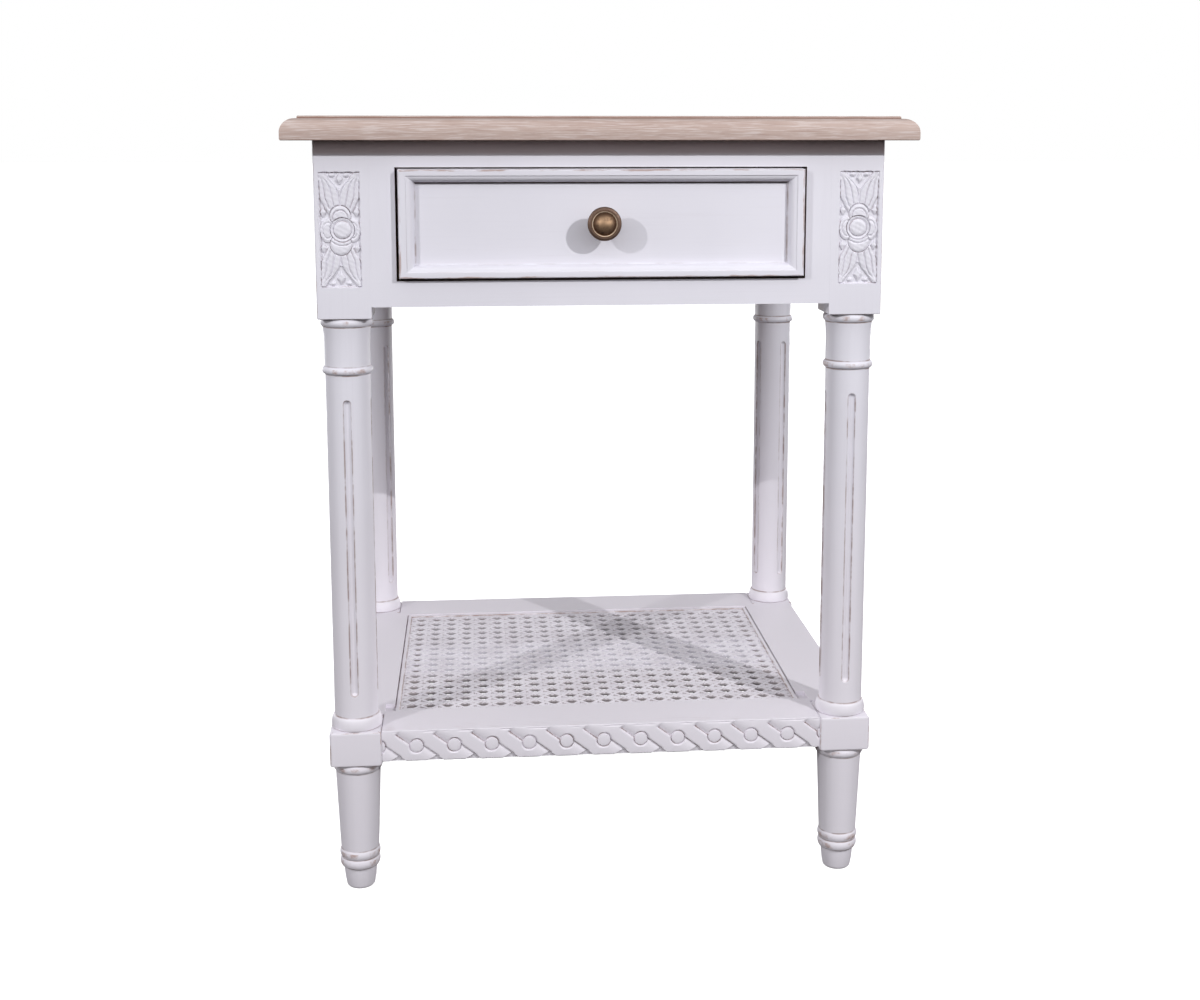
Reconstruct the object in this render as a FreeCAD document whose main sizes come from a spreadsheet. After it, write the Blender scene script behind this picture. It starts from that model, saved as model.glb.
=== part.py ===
import FreeCAD, Part
import math
import os
import Sketcher
from types import SimpleNamespace

Vector = FreeCAD.Vector

doc = FreeCAD.newDocument("Nightstand")
sheet = doc.addObject("Spreadsheet::Sheet", "Sizes")
pieces = []


class Size:
    """A value of the sheet, or one worked out from such values, with the expression that gives it."""

    def __init__(self, value, text):
        self.value = value
        self.text = text

    def __add__(self, other):
        return Size(self.value + other.value, f"({self.text} + {other.text})")

    def __sub__(self, other):
        return Size(self.value - other.value, f"({self.text} - {other.text})")

    def __neg__(self):
        return Size(-self.value, f"(0 - {self.text})")

    def __mul__(self, other):
        factor = other if isinstance(other, Size) else Size(other, f"({other})")
        return Size(self.value * factor.value, f"({self.text} * {factor.text})")

    def __truediv__(self, other):
        divisor = other if isinstance(other, Size) else Size(other, f"({other})")
        return Size(self.value / divisor.value, f"({self.text} / {divisor.text})")

driving_sizes = {
    # Cuts and fits
    "overrun": 1,
    "joint_clearance": 0.1,
    "running_clearance": 0.4,
    # Top
    "top_width": 500,
    "top_depth": 420,
    "top_edge_height": 6,
    "top_ovolo_radius": 11,
    "top_field_height": 2,
    "top_field_inset": 12.5,
    "side_overhang": 22.5,
    "front_overhang": 22,
    # Legs: heights from the floor upwards
    "block_width": 43,
    "block_softening": 1.5,
    "toe_height": 17,
    "ring_height": 9,
    "foot_height": 66,
    "shoulder_height": 11.5,
    "low_block_height": 30,
    "base_bead_height": 13.5,
    "shaft_height": 281,
    "collar_height": 11,
    "neck_height": 27,
    "high_block_height": 140.5,
    # Legs: radii of the turning and swell of its beads
    "toe_tip_radius": 9.5,
    "toe_radius": 13.7,
    "toe_curve_radius": 26,
    "ankle_radius": 15.6,
    "foot_radius": 18.3,
    "shaft_radius": 18.2,
    "neck_radius": 18.7,
    "ring_swell": 1.6,
    "foot_shoulder_swell": 1.3,
    "base_bead_swell": 3.0,
    "collar_swell": 2.2,
    "neck_shoulder_swell": 1.8,
    # Legs: flutes and carved panels
    "flute_count": 4,
    "flute_radius": 3.2,
    "flute_rise": 0.6,
    "flute_margin": 16.5,
    "front_flute_turn": 0,
    "rear_left_flute_turn": 44,
    "rear_right_flute_turn": 28,
    "carved_panel_width": 33,
    "carved_panel_height": 91.5,
    "carved_panel_drop": 24,
    "carved_panel_shift": 1.5,
    "carved_panel_depth": 2.5,
    # Aprons and the frame of the drawer's opening
    "board_thickness": 20,
    "apron_height": 131,
    "apron_reveal": 3,
    "top_rail_height": 21,
    "bottom_rail_height": 20.7,
    "stile_width": 20.5,
    "tenon_thickness": 9,
    "tenon_length": 17,
    "apron_tenon_margin": 12,
    "rail_tenon_margin": 4,
    "stile_tenon_margin": 4,
    "stub_length": 5,
    # Runners, guides, kickers and stops of the drawer
    "runner_width": 44,
    "runner_thickness": 20,
    "tongue_margin": 6,
    "guide_width": 14,
    "guide_height": 15,
    "guide_setback": 6,
    "stop_width": 15,
    "stop_length": 24.6,
    # Drawer
    "drawer_side_gap": 2.2,
    "drawer_top_gap": 1,
    "drawer_bottom_gap": 2.2,
    "drawer_sink": 2,
    "drawer_front_thickness": 20,
    "drawer_wall_thickness": 12,
    "drawer_wall_drop": 6.9,
    "drawer_wall_inset": 1,
    "drawer_back_drop": 7,
    "drawer_back_inset": 12,
    "drawer_bottom_thickness": 6,
    "drawer_bottom_rise": 8,
    "drawer_groove_depth": 5,
    "housing_depth": 6,
    "tail_count": 3,
    "tail_length": 12,
    "tail_width": 16,
    "tail_flare": 2,
    # Moulding round the drawer's front
    "moulding_side_width": 13.5,
    "moulding_top_width": 11,
    "moulding_thickness": 6,
    "moulding_edge_radius": 1,
    "moulding_lip": 1.5,
    "moulding_ovolo_radius": 8,
    "moulding_flat_share": 0.5,
    # Knob and its screw
    "knob_projection": 24,
    "knob_base_radius": 7.5,
    "knob_base_height": 2,
    "knob_stem_radius": 4.6,
    "knob_stem_start": 6,
    "knob_stem_end": 11,
    "knob_foot_cove_radius": 5,
    "knob_neck_cove_radius": 9,
    "knob_rim_radius": 11.5,
    "knob_rim_start": 15,
    "knob_rim_end": 19.5,
    "knob_rim_swell": 2,
    "knob_dome_radius": 9,
    "knob_groove_width": 0.8,
    "knob_groove_depth": 0.8,
    "knob_screw_radius": 2,
    "knob_screw_bite": 10,
    "knob_screw_head_radius": 4,
    "knob_screw_head_height": 2.5,
    # Wood screws
    "screw_radius": 2,
    "screw_head_radius": 4,
    "screw_head_height": 2.5,
    "top_screw_bite": 12,
    "top_screw_reach": 100,
    "bottom_screw_bite": 16,
    "bottom_screw_reach": 90,
    # Shelf with its cane
    "shelf_rail_width": 48,
    "shelf_front_reveal": 1.5,
    "shelf_side_reveal": 3,
    "shelf_lip_width": 17,
    "shelf_tenon_length": 12,
    "shelf_tenon_width": 16,
    "shelf_tenon_height": 10,
    "cane_bed_depth": 3.5,
    "cane_thickness": 2,
    "cane_columns": 19,
    "cane_rows": 15,
    "cane_hole_share": 0.48,
    "cane_corner_share": 0.3,
    "spline_width": 5,
    "spline_depth": 6,
    "spline_sink": 0.8,
}

size = SimpleNamespace()
for row, (alias, number) in enumerate(driving_sizes.items(), start=1):
    sheet.set(f"A{row}", alias)
    sheet.set(f"B{row}", str(number))
    sheet.setAlias(f"B{row}", alias)
    setattr(size, alias, Size(number, f"Sizes.{alias}"))
zero = Size(0, "0")

# Heights worked out from the legs
toe_top = size.toe_height
ring_top = toe_top + size.ring_height
ankle_top = ring_top + size.ring_height
foot_top = ankle_top + size.foot_height
shelf_bottom = foot_top + size.shoulder_height
shelf_top = shelf_bottom + size.low_block_height
base_bead_top = shelf_top + size.base_bead_height
shaft_top = base_bead_top + size.shaft_height
collar_top = shaft_top + size.collar_height
neck_top = collar_top + size.neck_height
high_block_bottom = neck_top + size.shoulder_height
leg_length = high_block_bottom + size.high_block_height

# Places worked out from the top and the legs
block_half = size.block_width / 2
leg_x = size.top_width / 2 - size.side_overhang - block_half
leg_y = size.top_depth / 2 - size.front_overhang - block_half
inner_x = leg_x - block_half
inner_y = leg_y - block_half
face_y = leg_y + block_half
apron_bottom = leg_length - size.apron_height
apron_inset = block_half - size.apron_reveal - size.board_thickness / 2
rail_inset = block_half - size.board_thickness / 2
rail_y = face_y - size.board_thickness / 2
opening_bottom = apron_bottom + size.bottom_rail_height
opening_top = leg_length - size.top_rail_height
opening_x = inner_x - size.stile_width
stile_x = inner_x - size.stile_width / 2
stile_height = opening_top - opening_bottom

# Places of the runners and kickers
frame_front_y = size.board_thickness - face_y
frame_rear_y = leg_y + apron_inset - size.board_thickness / 2
runner_x = inner_x - size.runner_width / 2
runner_bottom = opening_bottom - size.runner_thickness
top_screw_head_z = opening_top + size.screw_head_height

# Places of the drawer
drawer_face_y = face_y - size.drawer_sink
drawer_width = (opening_x - size.drawer_side_gap) * 2
drawer_bottom_z = opening_bottom + size.drawer_bottom_gap
drawer_top_z = opening_top - size.drawer_top_gap
drawer_height = drawer_top_z - drawer_bottom_z
wall_outer_x = drawer_width / 2 - size.drawer_wall_inset
wall_inner_x = wall_outer_x - size.drawer_wall_thickness
wall_bottom_z = opening_bottom + size.running_clearance
wall_top_z = opening_top - size.drawer_wall_drop
wall_height = wall_top_z - wall_bottom_z
drawer_rear_y = frame_rear_y - size.stop_length - size.running_clearance
drawer_back_y = drawer_rear_y - size.drawer_back_inset
front_back_y = size.drawer_front_thickness - drawer_face_y
floor_z = wall_bottom_z + size.drawer_bottom_rise
knob_z = (drawer_bottom_z + drawer_top_z) / 2

# Holes with room for the wood screws
shank_hole = size.screw_radius + size.joint_clearance
head_hole = size.screw_head_radius + size.joint_clearance

# Places of the shelf and the cane
shelf_outer_y = block_half - size.shelf_front_reveal
shelf_outer_x = block_half - size.shelf_side_reveal
bed_y = leg_y + shelf_outer_y - size.shelf_rail_width
bed_x = leg_x + shelf_outer_x - size.shelf_rail_width
lip_y = bed_y - size.shelf_lip_width
lip_x = bed_x - size.shelf_lip_width
bed_level = size.low_block_height - size.cane_bed_depth
groove_level = bed_level - size.spline_depth


def facing(direction, low, high):
    """A span given outwards from a leg or board, turned to its own side of the frame."""
    if direction > 0:
        return low, high
    return -high, -low


def rectangle(left, right, bottom, top):
    return [(left, bottom), (right, bottom), (right, top), (left, top)]


def softened_square(half, radius):
    """A square about the origin with rounded corners."""
    flat = half - radius
    return [
        (-flat, -half), (flat, -half, radius),
        (half, -flat), (half, flat, radius),
        (flat, half), (-flat, half, radius),
        (-half, flat), (-half, -flat, radius),
    ]


def bead_radius(height, swell):
    """The radius of the arc that swells by so much over so high a bead."""
    return (height * height / 4 + swell * swell) / (swell * 2)


def new_body(label, x, y, z, rotation=None):
    body = doc.addObject("PartDesign::Body", label)
    body.Label = label
    if rotation:
        body.Placement = FreeCAD.Placement(Vector(), rotation)
    for axis, place in zip("xyz", (x, y, z)):
        body.setExpression(f"Placement.Base.{axis}", place.text)
    pieces.append(body)
    return body


def origin_feature(body, role):
    return next(item for item in body.Origin.OriginFeatures if item.Role == role)


def new_sketch(body, name, plane, offset):
    sketch = body.newObject("Sketcher::SketchObject", name)
    sketch.AttachmentSupport = [(origin_feature(body, plane), "")]
    sketch.MapMode = "FlatFace"
    sketch.setExpression("AttachmentOffset.Base.z", offset.text)
    return sketch


def bind(sketch, constraint, value):
    """Adds a constraint that follows a size."""
    number = sketch.addConstraint(constraint)
    sketch.setExpression(f"Constraints[{number}]", value.text)


def arc_between(start, stop, radius):
    """An arc under a half circle; it swells to the right of its way, or to the left if negative."""
    chord = stop - start
    left = Vector(-chord.y, chord.x, 0)
    left.normalize()
    rise = math.sqrt(radius**2 - (chord.Length / 2) ** 2)
    centre = (start + stop) / 2 + left * math.copysign(rise, radius)
    first, last = (start, stop) if radius > 0 else (stop, start)
    angles = [math.atan2(end.y - centre.y, end.x - centre.x) for end in (first, last)]
    return Part.ArcOfCircle(Part.Circle(centre, Vector(0, 0, 1), abs(radius)), *angles)


def draw(body, name, plane, corners, offset=zero):
    """A closed outline; a corner with a third value, a radius, starts an arc to the next corner."""
    sketch = new_sketch(body, name, plane, offset)
    ends = []
    for corner, following in zip(corners, corners[1:] + corners[:1]):
        start = Vector(corner[0].value, corner[1].value, 0)
        stop = Vector(following[0].value, following[1].value, 0)
        if len(corner) == 2:
            sketch.addGeometry(Part.LineSegment(start, stop), False)
            ends.append((1, 2))
        else:
            sketch.addGeometry(arc_between(start, stop, corner[2].value), False)
            ends.append((1, 2) if corner[2].value > 0 else (2, 1))
    for index, corner in enumerate(corners):
        following = (index + 1) % len(corners)
        start, stop = ends[index]
        sketch.addConstraint(Sketcher.Constraint("Coincident", index, stop, following, ends[following][0]))
        bind(sketch, Sketcher.Constraint("DistanceX", -1, 1, index, start, corner[0].value), corner[0])
        bind(sketch, Sketcher.Constraint("DistanceY", -1, 1, index, start, corner[1].value), corner[1])
        if len(corner) == 3:
            radius = corner[2] if corner[2].value > 0 else -corner[2]
            bind(sketch, Sketcher.Constraint("Radius", index, radius.value), radius)
    return sketch


def add_feature(body, kind, name, sketch):
    feature = body.newObject(f"PartDesign::{kind}", name)
    feature.Profile = sketch
    body.Tip = feature
    return feature


def pad(body, name, plane, corners, low, high):
    """Fills an outline from one level to another along the plane's axis."""
    offset = -high if plane == "XZ_Plane" else low
    sketch = draw(body, f"{name}Outline", plane, corners, offset)
    feature = add_feature(body, "Pad", name, sketch)
    feature.setExpression("Length", (high - low).text)
    return feature


def cut_down(body, name, sketch, low, high):
    feature = add_feature(body, "Pocket", name, sketch)
    feature.setExpression("Length", (high - low).text)
    return feature


def pocket(body, name, plane, corners, low, high):
    """Cuts an outline from one level to another along the plane's axis."""
    offset = -low if plane == "XZ_Plane" else high
    return cut_down(body, name, draw(body, f"{name}Outline", plane, corners, offset), low, high)


def bore(body, name, plane, across, along, radius, low, high):
    """Cuts a round hole from one level to another along the plane's axis."""
    offset = -low if plane == "XZ_Plane" else high
    sketch = new_sketch(body, f"{name}Circle", plane, offset)
    centre = Vector(across.value, along.value, 0)
    sketch.addGeometry(Part.Circle(centre, Vector(0, 0, 1), radius.value), False)
    bind(sketch, Sketcher.Constraint("DistanceX", -1, 1, 0, 3, across.value), across)
    bind(sketch, Sketcher.Constraint("DistanceY", -1, 1, 0, 3, along.value), along)
    bind(sketch, Sketcher.Constraint("Radius", 0, radius.value), radius)
    return cut_down(body, name, sketch, low, high)


def revolve(body, name, plane, corners, axis):
    sketch = draw(body, f"{name}Outline", plane, corners)
    feature = add_feature(body, "Revolution", name, sketch)
    feature.ReferenceAxis = (sketch, [axis])
    feature.Angle = 360
    return feature


def mortise(body, name, plane, across, along, low, high):
    """A pocket with room for a tenon of the given spans."""
    room = size.joint_clearance
    corners = rectangle(across[0] - room, across[1] + room, along[0] - room, along[1] + room)
    return pocket(body, name, plane, corners, low, high)


def about(centre, width):
    return centre - width / 2, centre + width / 2


# Top


def make_tabletop():
    """A plank with an ovolo edge and a raised field, bored from below for its screws."""
    body = new_body("tabletop", zero, zero, leg_length)
    half_width = size.top_width / 2
    half_depth = size.top_depth / 2
    shoulder = size.top_edge_height + size.top_ovolo_radius
    outline = rectangle(-half_width, half_width, -half_depth, half_depth)
    plank = pad(body, "Plank", "XY_Plane", outline, zero, shoulder)
    doc.recompute()
    ovolo = body.newObject("PartDesign::Fillet", "Ovolo")
    ovolo.Base = (plank, ["Face6"])
    ovolo.setExpression("Radius", size.top_ovolo_radius.text)
    body.Tip = ovolo
    field_x = half_width - size.top_field_inset
    field_y = half_depth - size.top_field_inset
    field = rectangle(-field_x, field_x, -field_y, field_y)
    pad(body, "Field", "XY_Plane", field, shoulder - size.top_field_height, shoulder + size.top_field_height)
    pilot_end = size.top_screw_bite + size.joint_clearance
    for x, y in top_screw_places():
        bore(body, "Pilot", "XY_Plane", x, y, shank_hole, -size.overrun, pilot_end)


def top_screw_places():
    return [(x, y) for x in (-runner_x, runner_x) for y in (-size.top_screw_reach, size.top_screw_reach)]


# Legs


def leg_profile():
    """Half the turning, from the toe to its root in the upper block."""
    root = high_block_bottom + size.shoulder_height
    return [
        (zero, zero),
        (size.toe_tip_radius, zero, size.toe_curve_radius),
        (size.toe_radius, toe_top),
        (size.ankle_radius, toe_top, bead_radius(size.ring_height, size.ring_swell)),
        (size.ankle_radius, ring_top, bead_radius(size.ring_height, size.ring_swell)),
        (size.ankle_radius, ankle_top),
        (size.foot_radius, foot_top, bead_radius(size.shoulder_height, size.foot_shoulder_swell)),
        (size.foot_radius, shelf_bottom),
        (size.shaft_radius, shelf_top, bead_radius(size.base_bead_height, size.base_bead_swell)),
        (size.shaft_radius, base_bead_top),
        (size.shaft_radius, shaft_top, bead_radius(size.collar_height, size.collar_swell)),
        (size.neck_radius, collar_top),
        (size.neck_radius, neck_top, bead_radius(size.shoulder_height, size.neck_shoulder_swell)),
        (size.neck_radius, high_block_bottom),
        (size.neck_radius, root),
        (zero, root),
    ]


def cut_flutes(body, turn):
    """Round-ended flutes along the shaft, spaced evenly round it."""
    centre = size.shaft_radius + size.flute_rise
    low = base_bead_top + size.flute_margin
    high = shaft_top - size.flute_margin
    corners = [
        (centre, low, size.flute_radius),
        (centre + size.flute_radius, low + size.flute_radius),
        (centre + size.flute_radius, high - size.flute_radius, size.flute_radius),
        (centre, high),
    ]
    sketch = draw(body, "FluteOutline", "XZ_Plane", corners)
    sketch.AttachmentOffset = FreeCAD.Placement(Vector(), FreeCAD.Rotation(Vector(0, 1, 0), turn.value))
    sketch.setExpression("AttachmentOffset.Rotation.Angle", turn.text)
    axis = Part.LineSegment(Vector(centre.value, low.value, 0), Vector(centre.value, high.value, 0))
    axis_index = sketch.addGeometry(axis, True)
    sketch.addConstraint(Sketcher.Constraint("Coincident", axis_index, 1, 0, 1))
    sketch.addConstraint(Sketcher.Constraint("Coincident", axis_index, 2, 3, 1))
    flute = add_feature(body, "Groove", "Flute", sketch)
    flute.ReferenceAxis = (sketch, ["Axis0"])
    flute.Angle = 360
    pattern = body.newObject("PartDesign::PolarPattern", "Flutes")
    pattern.Originals = [flute]
    pattern.Axis = (origin_feature(body, "Z_Axis"), [""])
    pattern.Angle = 360
    pattern.setExpression("Occurrences", size.flute_count.text)
    body.Tip = pattern


def cut_leg_mortises(body, side, end):
    """Mortises for the tenons of the aprons, the drawer's rails and the shelf's rails."""
    entry = -block_half - size.overrun
    apron_span = about(apron_inset, size.tenon_thickness)
    apron_heights = (apron_bottom + size.apron_tenon_margin, leg_length - size.apron_tenon_margin)
    depth = size.tenon_length + size.joint_clearance - block_half
    side_across = facing(side, *apron_span)
    mortise(body, "SideMortise", "XZ_Plane", side_across, apron_heights, *facing(end, entry, depth))
    if end > 0:
        back_across = facing(end, *apron_span)
        mortise(body, "BackMortise", "YZ_Plane", back_across, apron_heights, *facing(side, entry, depth))
    else:
        rail_across = facing(end, *about(rail_inset, size.tenon_thickness))
        rails = (
            (apron_bottom + size.rail_tenon_margin, opening_bottom - size.rail_tenon_margin),
            (opening_top + size.rail_tenon_margin, leg_length - size.rail_tenon_margin),
        )
        for heights in rails:
            mortise(body, "RailMortise", "YZ_Plane", rail_across, heights, *facing(side, entry, depth))
    shelf_span = about(zero, size.shelf_tenon_width)
    shelf_heights = about(shelf_bottom + size.low_block_height / 2, size.shelf_tenon_height)
    shelf_depth = size.shelf_tenon_length + size.joint_clearance - block_half
    mortise(body, "ShelfMortiseX", "YZ_Plane", shelf_span, shelf_heights, *facing(side, entry, shelf_depth))
    mortise(body, "ShelfMortiseY", "XZ_Plane", shelf_span, shelf_heights, *facing(end, entry, shelf_depth))


def make_leg(label, side, end, turn):
    """A turned and fluted leg with its two square blocks; side and end say which corner it stands at."""
    body = new_body(label, leg_x * side, leg_y * end, zero)
    revolve(body, "Turning", "XZ_Plane", leg_profile(), "V_Axis")
    cut_flutes(body, turn)
    square = softened_square(block_half, size.block_softening)
    pad(body, "LowBlock", "XY_Plane", square, shelf_bottom, shelf_top)
    pad(body, "HighBlock", "XY_Plane", square, high_block_bottom, leg_length)
    cut_leg_mortises(body, side, end)
    if end < 0:
        panel_top = leg_length - size.carved_panel_drop
        across = about(size.carved_panel_shift * side, size.carved_panel_width)
        panel = rectangle(*across, panel_top - size.carved_panel_height, panel_top)
        panel_floor = size.carved_panel_depth - block_half
        pocket(body, "CarvedPanel", "XZ_Plane", panel, -block_half - size.overrun, panel_floor)


# Aprons and the frame of the drawer's opening


def make_side_apron(label, side):
    body = new_body(label, (leg_x + apron_inset) * side, zero, apron_bottom)
    board = rectangle(-inner_y, inner_y, zero, size.apron_height)
    pad(body, "Board", "YZ_Plane", board, *about(zero, size.board_thickness))
    reach = inner_y + size.tenon_length
    tenons = rectangle(-reach, reach, size.apron_tenon_margin, size.apron_height - size.apron_tenon_margin)
    pad(body, "Tenons", "YZ_Plane", tenons, *about(zero, size.tenon_thickness))


def cut_tongue_mortises(body, height, low, high):
    """Mortises for the tongues of the runners or the kickers, on both sides."""
    width = size.runner_width - size.tongue_margin * 2
    for x in (-runner_x, runner_x):
        heights = about(height, size.runner_thickness - size.tongue_margin * 2)
        mortise(body, "TongueMortise", "XZ_Plane", about(x, width), heights, low, high)


def make_back_apron():
    body = new_body("back_apron", zero, leg_y + apron_inset, apron_bottom)
    half = size.board_thickness / 2
    pad(body, "Board", "XZ_Plane", rectangle(-inner_x, inner_x, zero, size.apron_height), -half, half)
    reach = inner_x + size.tenon_length
    tenons = rectangle(-reach, reach, size.apron_tenon_margin, size.apron_height - size.apron_tenon_margin)
    pad(body, "Tenons", "XZ_Plane", tenons, *about(zero, size.tenon_thickness))
    mortise_end = size.stub_length + size.joint_clearance - half
    runner_middle = size.bottom_rail_height - size.runner_thickness / 2
    kicker_middle = size.apron_height - size.top_rail_height / 2
    for height in (runner_middle, kicker_middle):
        cut_tongue_mortises(body, height, -half - size.overrun, mortise_end)


def make_drawer_rail(label, bottom, height, stile_side, tongue_height):
    """A rail above or below the drawer, with mortises for the stiles and for the boards behind it."""
    body = new_body(label, zero, -rail_y, bottom)
    half = size.board_thickness / 2
    pad(body, "Board", "XZ_Plane", rectangle(-inner_x, inner_x, zero, height), -half, half)
    reach = inner_x + size.tenon_length
    tenons = rectangle(-reach, reach, size.rail_tenon_margin, height - size.rail_tenon_margin)
    pad(body, "Tenons", "XZ_Plane", tenons, *about(zero, size.tenon_thickness))
    if stile_side > 0:
        stub_levels = (height - size.stub_length - size.joint_clearance, height + size.overrun)
    else:
        stub_levels = (-size.overrun, size.stub_length + size.joint_clearance)
    for x in (-stile_x, stile_x):
        across = about(x, size.stile_width - size.stile_tenon_margin * 2)
        mortise(body, "StileMortise", "XY_Plane", across, about(zero, size.tenon_thickness), *stub_levels)
    mortise_end = half - size.stub_length - size.joint_clearance
    cut_tongue_mortises(body, tongue_height, mortise_end, half + size.overrun)


def make_drawer_stile(label, side):
    """The upright that fills between a leg and the drawer, with a stub tenon at each end."""
    body = new_body(label, stile_x * side, -rail_y, opening_bottom)
    half = size.stile_width / 2
    board = rectangle(-half, half, zero, stile_height)
    pad(body, "Board", "XZ_Plane", board, *about(zero, size.board_thickness))
    tenon_half = half - size.stile_tenon_margin
    tenons = rectangle(-tenon_half, tenon_half, -size.stub_length, stile_height + size.stub_length)
    pad(body, "Tenons", "XZ_Plane", tenons, *about(zero, size.tenon_thickness))


# Runners, guides, kickers and stops


def make_web_board(label, side, bottom, thickness):
    """A board from the front rail to the back apron, with a tongue at each end."""
    body = new_body(label, runner_x * side, zero, bottom)
    half = size.runner_width / 2
    board = rectangle(-half, half, frame_front_y, frame_rear_y)
    pad(body, "Board", "XY_Plane", board, zero, thickness)
    tongue_half = half - size.tongue_margin
    tongue_start = frame_front_y - size.stub_length
    tongue_end = frame_rear_y + size.stub_length
    tongues = rectangle(-tongue_half, tongue_half, tongue_start, tongue_end)
    tongue_thickness = size.runner_thickness - size.tongue_margin * 2
    pad(body, "Tongues", "XY_Plane", tongues, *about(thickness / 2, tongue_thickness))
    return body


def make_kicker(label, side):
    body = make_web_board(label, side, opening_top, size.top_rail_height)
    for y in (-size.top_screw_reach, size.top_screw_reach):
        bore(body, "Shank", "XY_Plane", zero, y, shank_hole, zero, size.top_rail_height + size.overrun)
        bore(body, "Head", "XY_Plane", zero, y, head_hole, -size.overrun, size.screw_head_height)


def make_guide(label, side):
    """The strip on a runner that the drawer's side slides along."""
    body = new_body(label, zero, zero, opening_bottom)
    near = wall_outer_x + size.running_clearance
    start = frame_front_y + size.guide_setback
    strip = rectangle(*facing(side, near, near + size.guide_width), start, frame_rear_y)
    pad(body, "Strip", "XY_Plane", strip, zero, size.guide_height)


def make_stop(label, side):
    """The block behind the drawer's side that the closed drawer meets."""
    body = new_body(label, zero, zero, opening_bottom)
    far = wall_outer_x + size.running_clearance
    start = drawer_rear_y + size.running_clearance
    block = rectangle(*facing(side, far - size.stop_width, far), start, frame_rear_y)
    pad(body, "Block", "XY_Plane", block, zero, size.guide_height)


# Drawer


def tail_outlines(room):
    """Outlines of the dovetails where a side meets the front, seen from the side, with room around."""
    root_y = front_back_y
    tip_y = root_y - size.tail_length - room
    outlines = []
    for index in range(int(size.tail_count.value)):
        middle = wall_bottom_z + wall_height * (2 * index + 1) / (size.tail_count * 2)
        tip = size.tail_width / 2 + room
        root = tip - size.tail_flare
        outlines.append(
            [(tip_y, middle - tip), (root_y, middle - root), (root_y, middle + root), (tip_y, middle + tip)]
        )
    return outlines


def floor_span():
    """Heights of the groove for the drawer's bottom."""
    return floor_z, floor_z + size.drawer_bottom_thickness


def make_drawer_front():
    """The front board, with sockets for the sides' dovetails and a groove for the bottom."""
    body = new_body("drawer_front", zero, zero, zero)
    half = drawer_width / 2
    board = rectangle(-half, half, drawer_bottom_z, drawer_top_z)
    pad(body, "Board", "XZ_Plane", board, -drawer_face_y, front_back_y)
    for side in (-1, 1):
        levels = facing(side, wall_inner_x - size.joint_clearance, half + size.overrun)
        for outline in tail_outlines(size.joint_clearance):
            pocket(body, "Socket", "YZ_Plane", outline, *levels)
    groove_half = wall_inner_x + size.drawer_groove_depth + size.joint_clearance
    groove_start = front_back_y - size.drawer_groove_depth - size.joint_clearance
    low, high = floor_span()
    groove = rectangle(-groove_half, groove_half, low - size.joint_clearance, high + size.joint_clearance)
    pocket(body, "Groove", "XZ_Plane", groove, groove_start, front_back_y + size.overrun)
    bore(
        body, "KnobHole", "XZ_Plane", zero, knob_z, size.knob_screw_radius + size.joint_clearance,
        -drawer_face_y - size.overrun, front_back_y + size.overrun,
    )


def make_drawer_side(label, side):
    """A side with dovetails at the front, a groove for the bottom and a housing for the back."""
    body = new_body(label, zero, zero, zero)
    levels = facing(side, wall_inner_x, wall_outer_x)
    board = rectangle(front_back_y, drawer_rear_y, wall_bottom_z, wall_top_z)
    pad(body, "Board", "YZ_Plane", board, *levels)
    for outline in tail_outlines(zero):
        pad(body, "Tail", "YZ_Plane", outline, *levels)
    room = size.joint_clearance
    low, high = floor_span()
    groove_start = front_back_y - size.tail_length - size.overrun
    groove = rectangle(groove_start, drawer_rear_y + size.overrun, low - room, high + room)
    inner = wall_inner_x - size.overrun
    groove_end = wall_inner_x + size.drawer_groove_depth + room
    pocket(body, "Groove", "YZ_Plane", groove, *facing(side, inner, groove_end))
    back_front_y = drawer_back_y - size.drawer_wall_thickness
    housing = rectangle(back_front_y - room, drawer_back_y + room, high, wall_top_z + size.overrun)
    housing_end = wall_inner_x + size.housing_depth + room
    pocket(body, "Housing", "YZ_Plane", housing, *facing(side, inner, housing_end))


def make_drawer_back():
    """The back, let into the sides, on top of the bottom."""
    high = floor_span()[1]
    body = new_body("drawer_back", zero, drawer_back_y, high)
    half = wall_inner_x + size.housing_depth
    height = wall_top_z - size.drawer_back_drop - high
    pad(body, "Board", "XZ_Plane", rectangle(-half, half, zero, height), -size.drawer_wall_thickness, zero)
    pilot_y = -size.drawer_wall_thickness / 2
    pilot_end = size.bottom_screw_bite + size.joint_clearance
    for x in (-size.bottom_screw_reach, size.bottom_screw_reach):
        bore(body, "Pilot", "XY_Plane", x, pilot_y, shank_hole, -size.overrun, pilot_end)


def make_drawer_bottom():
    """The panel in the grooves of the front and the sides, screwed up into the back."""
    body = new_body("drawer_bottom", zero, zero, floor_z)
    half = wall_inner_x + size.drawer_groove_depth
    panel = rectangle(-half, half, front_back_y - size.drawer_groove_depth, drawer_back_y)
    pad(body, "Panel", "XY_Plane", panel, zero, size.drawer_bottom_thickness)
    y = drawer_back_y - size.drawer_wall_thickness / 2
    for x in (-size.bottom_screw_reach, size.bottom_screw_reach):
        bore(body, "Shank", "XY_Plane", x, y, shank_hole, zero, size.drawer_bottom_thickness + size.overrun)
        bore(body, "Head", "XY_Plane", x, y, head_hole, -size.overrun, size.screw_head_height)


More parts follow.
